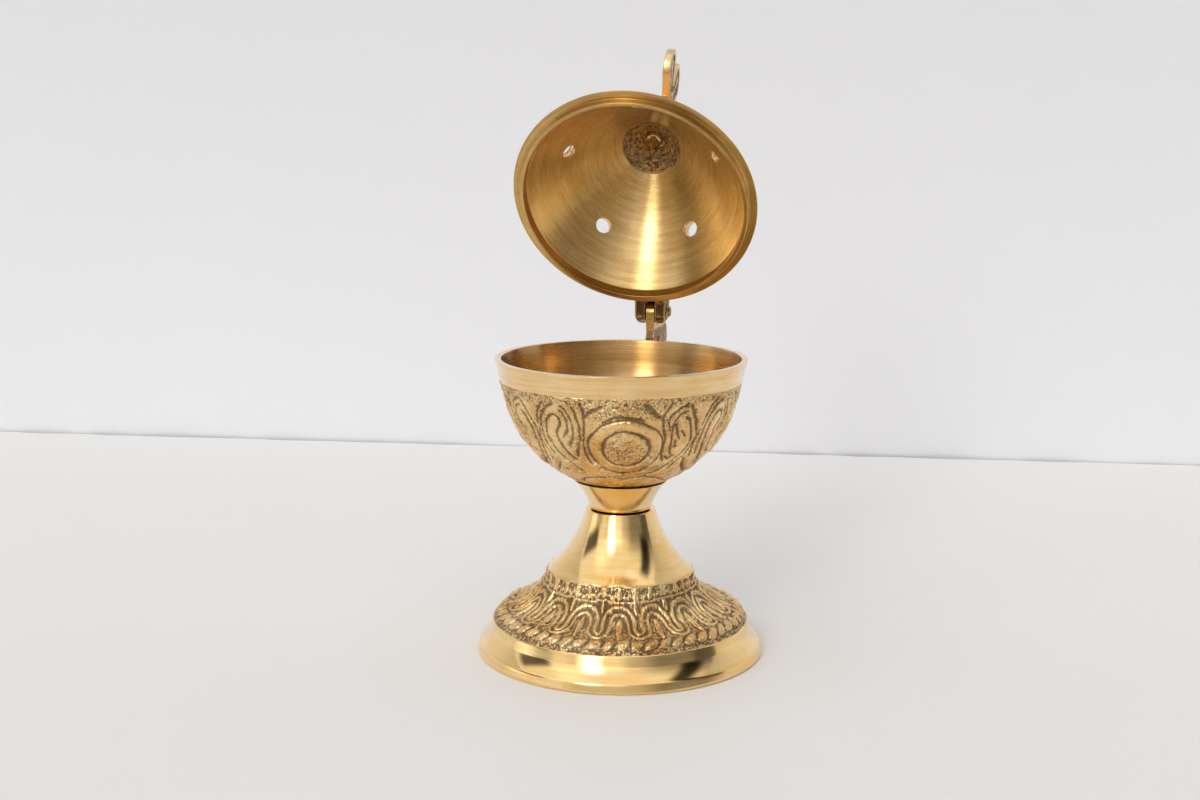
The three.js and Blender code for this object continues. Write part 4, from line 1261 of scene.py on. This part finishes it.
def overhead_lamp():
    """Weak square softbox above and behind, which adds to the world's light."""
    data = bpy.data.lights.new("overhead", "AREA")
    data.shape = "RECTANGLE"
    data.size = LAMP_SIZE
    data.size_y = LAMP_SIZE
    data.energy = LAMP_POWER
    lamp = bpy.data.objects.new("overhead", data)
    lamp.location = camera_side(150, 80, LAMP_DISTANCE)
    lamp.rotation_euler = (MIDDLE - lamp.location).to_track_quat("-Z", "Y").to_euler()
    bpy.context.scene.collection.objects.link(lamp)


overhead_lamp()


class WorldNodes(Nodes):
    """The same short way for a world."""

    def __init__(self, world):
        world.use_nodes = True
        self.tree = world.node_tree
        self.tree.nodes.clear()
        self.output = self.tree.nodes.new("ShaderNodeOutputWorld")

    def window(self, value, low, high, soft):
        """1 between two values in degrees, with soft ends."""
        low, high, soft = (math.radians(v) for v in (low, high, soft))
        rise = self.spread(value, low - soft, low + soft)
        fall = self.spread(value, high + soft, high - soft)
        return self.math("MULTIPLY", rise, fall)


# Areas of the room that the metal reflects: lowest and highest azimuth from the camera's side towards its
# right, lowest and highest elevation, soft edge, all in degrees, and the light's share there.
room_areas = {
    "room_behind_camera": (-84, 84, -5, 32, 9, 0.64),
    "bright_left": (-96, -40, -5, 32, 12, 1.65),
    "dim_right": (24, 104, -5, 44, 12, 0.42),
    "bright_middle": (-34, 4, 12, 40, 9, 2.0),
    "key_glow": (-34, -18, 14, 46, 5, 5.2),
    "bright_upper_left": (-66, -38, 36, 58, 9, 1.4),
    "dark_upright_right": (58, 80, 26, 62, 5, 0.04),
    "dark_low_right": (66, 98, 2, 28, 5, 0.42),
    "dark_upright_left": (-98, -66, 18, 36, 4, 0.1),
    "dark_low_left": (-78, -60, 8, 18, 4, 0.55),
    "dark_sliver_left": (-114, -106, 38, 56, 2, 0.3),
}
ZENITH_LIGHT = 0.98
SIDE_LIGHT = 0.86
UNDER_TABLE_LIGHT = 0.1
ZENITH_FROM = math.radians(75)
TABLE_EDGE_FROM = math.radians(-6)
LIGHT_COLOUR = (1, 0.995, 0.985, 1)


def studio_world():
    """Pale room around the censer, dimmer behind the camera and dark below the table."""
    world = bpy.data.worlds.new("studio")
    bpy.context.scene.world = world
    n = WorldNodes(world)
    direction = n.add("TexCoord").outputs["Generated"]
    faced = n.add("VectorRotate", rotation_type="Z_AXIS")
    n.put(faced.inputs["Vector"], direction)
    faced.inputs["Angle"].default_value = math.pi / 2 - OBJECT_TURN
    parts = n.add("SeparateXYZ")
    n.put(parts.inputs[0], faced.outputs[0])
    azimuth = n.math("ARCTAN2", parts.outputs["Y"], parts.outputs["X"])
    elevation = n.math("ARCSINE", parts.outputs["Z"])
    level = n.spread(elevation, 0.0, ZENITH_FROM, SIDE_LIGHT, ZENITH_LIGHT)
    for turn_low, turn_high, low, high, soft, share in room_areas.values():
        across = n.window(azimuth, turn_low, turn_high, soft)
        inside = n.math("MULTIPLY", across, n.window(elevation, low, high, soft))
        level = n.math("MULTIPLY", level, n.math("MULTIPLY_ADD", inside, share - 1, 1.0))
    above = n.spread(elevation, TABLE_EDGE_FROM, 0.0)
    level = n.math("MULTIPLY_ADD", n.math("SUBTRACT", level, UNDER_TABLE_LIGHT), above, UNDER_TABLE_LIGHT)
    light = n.add("Background", {"Color": LIGHT_COLOUR, "Strength": level})
    n.surface(light.outputs[0])


studio_world()

bpy.context.scene.view_settings.view_transform = "Standard"
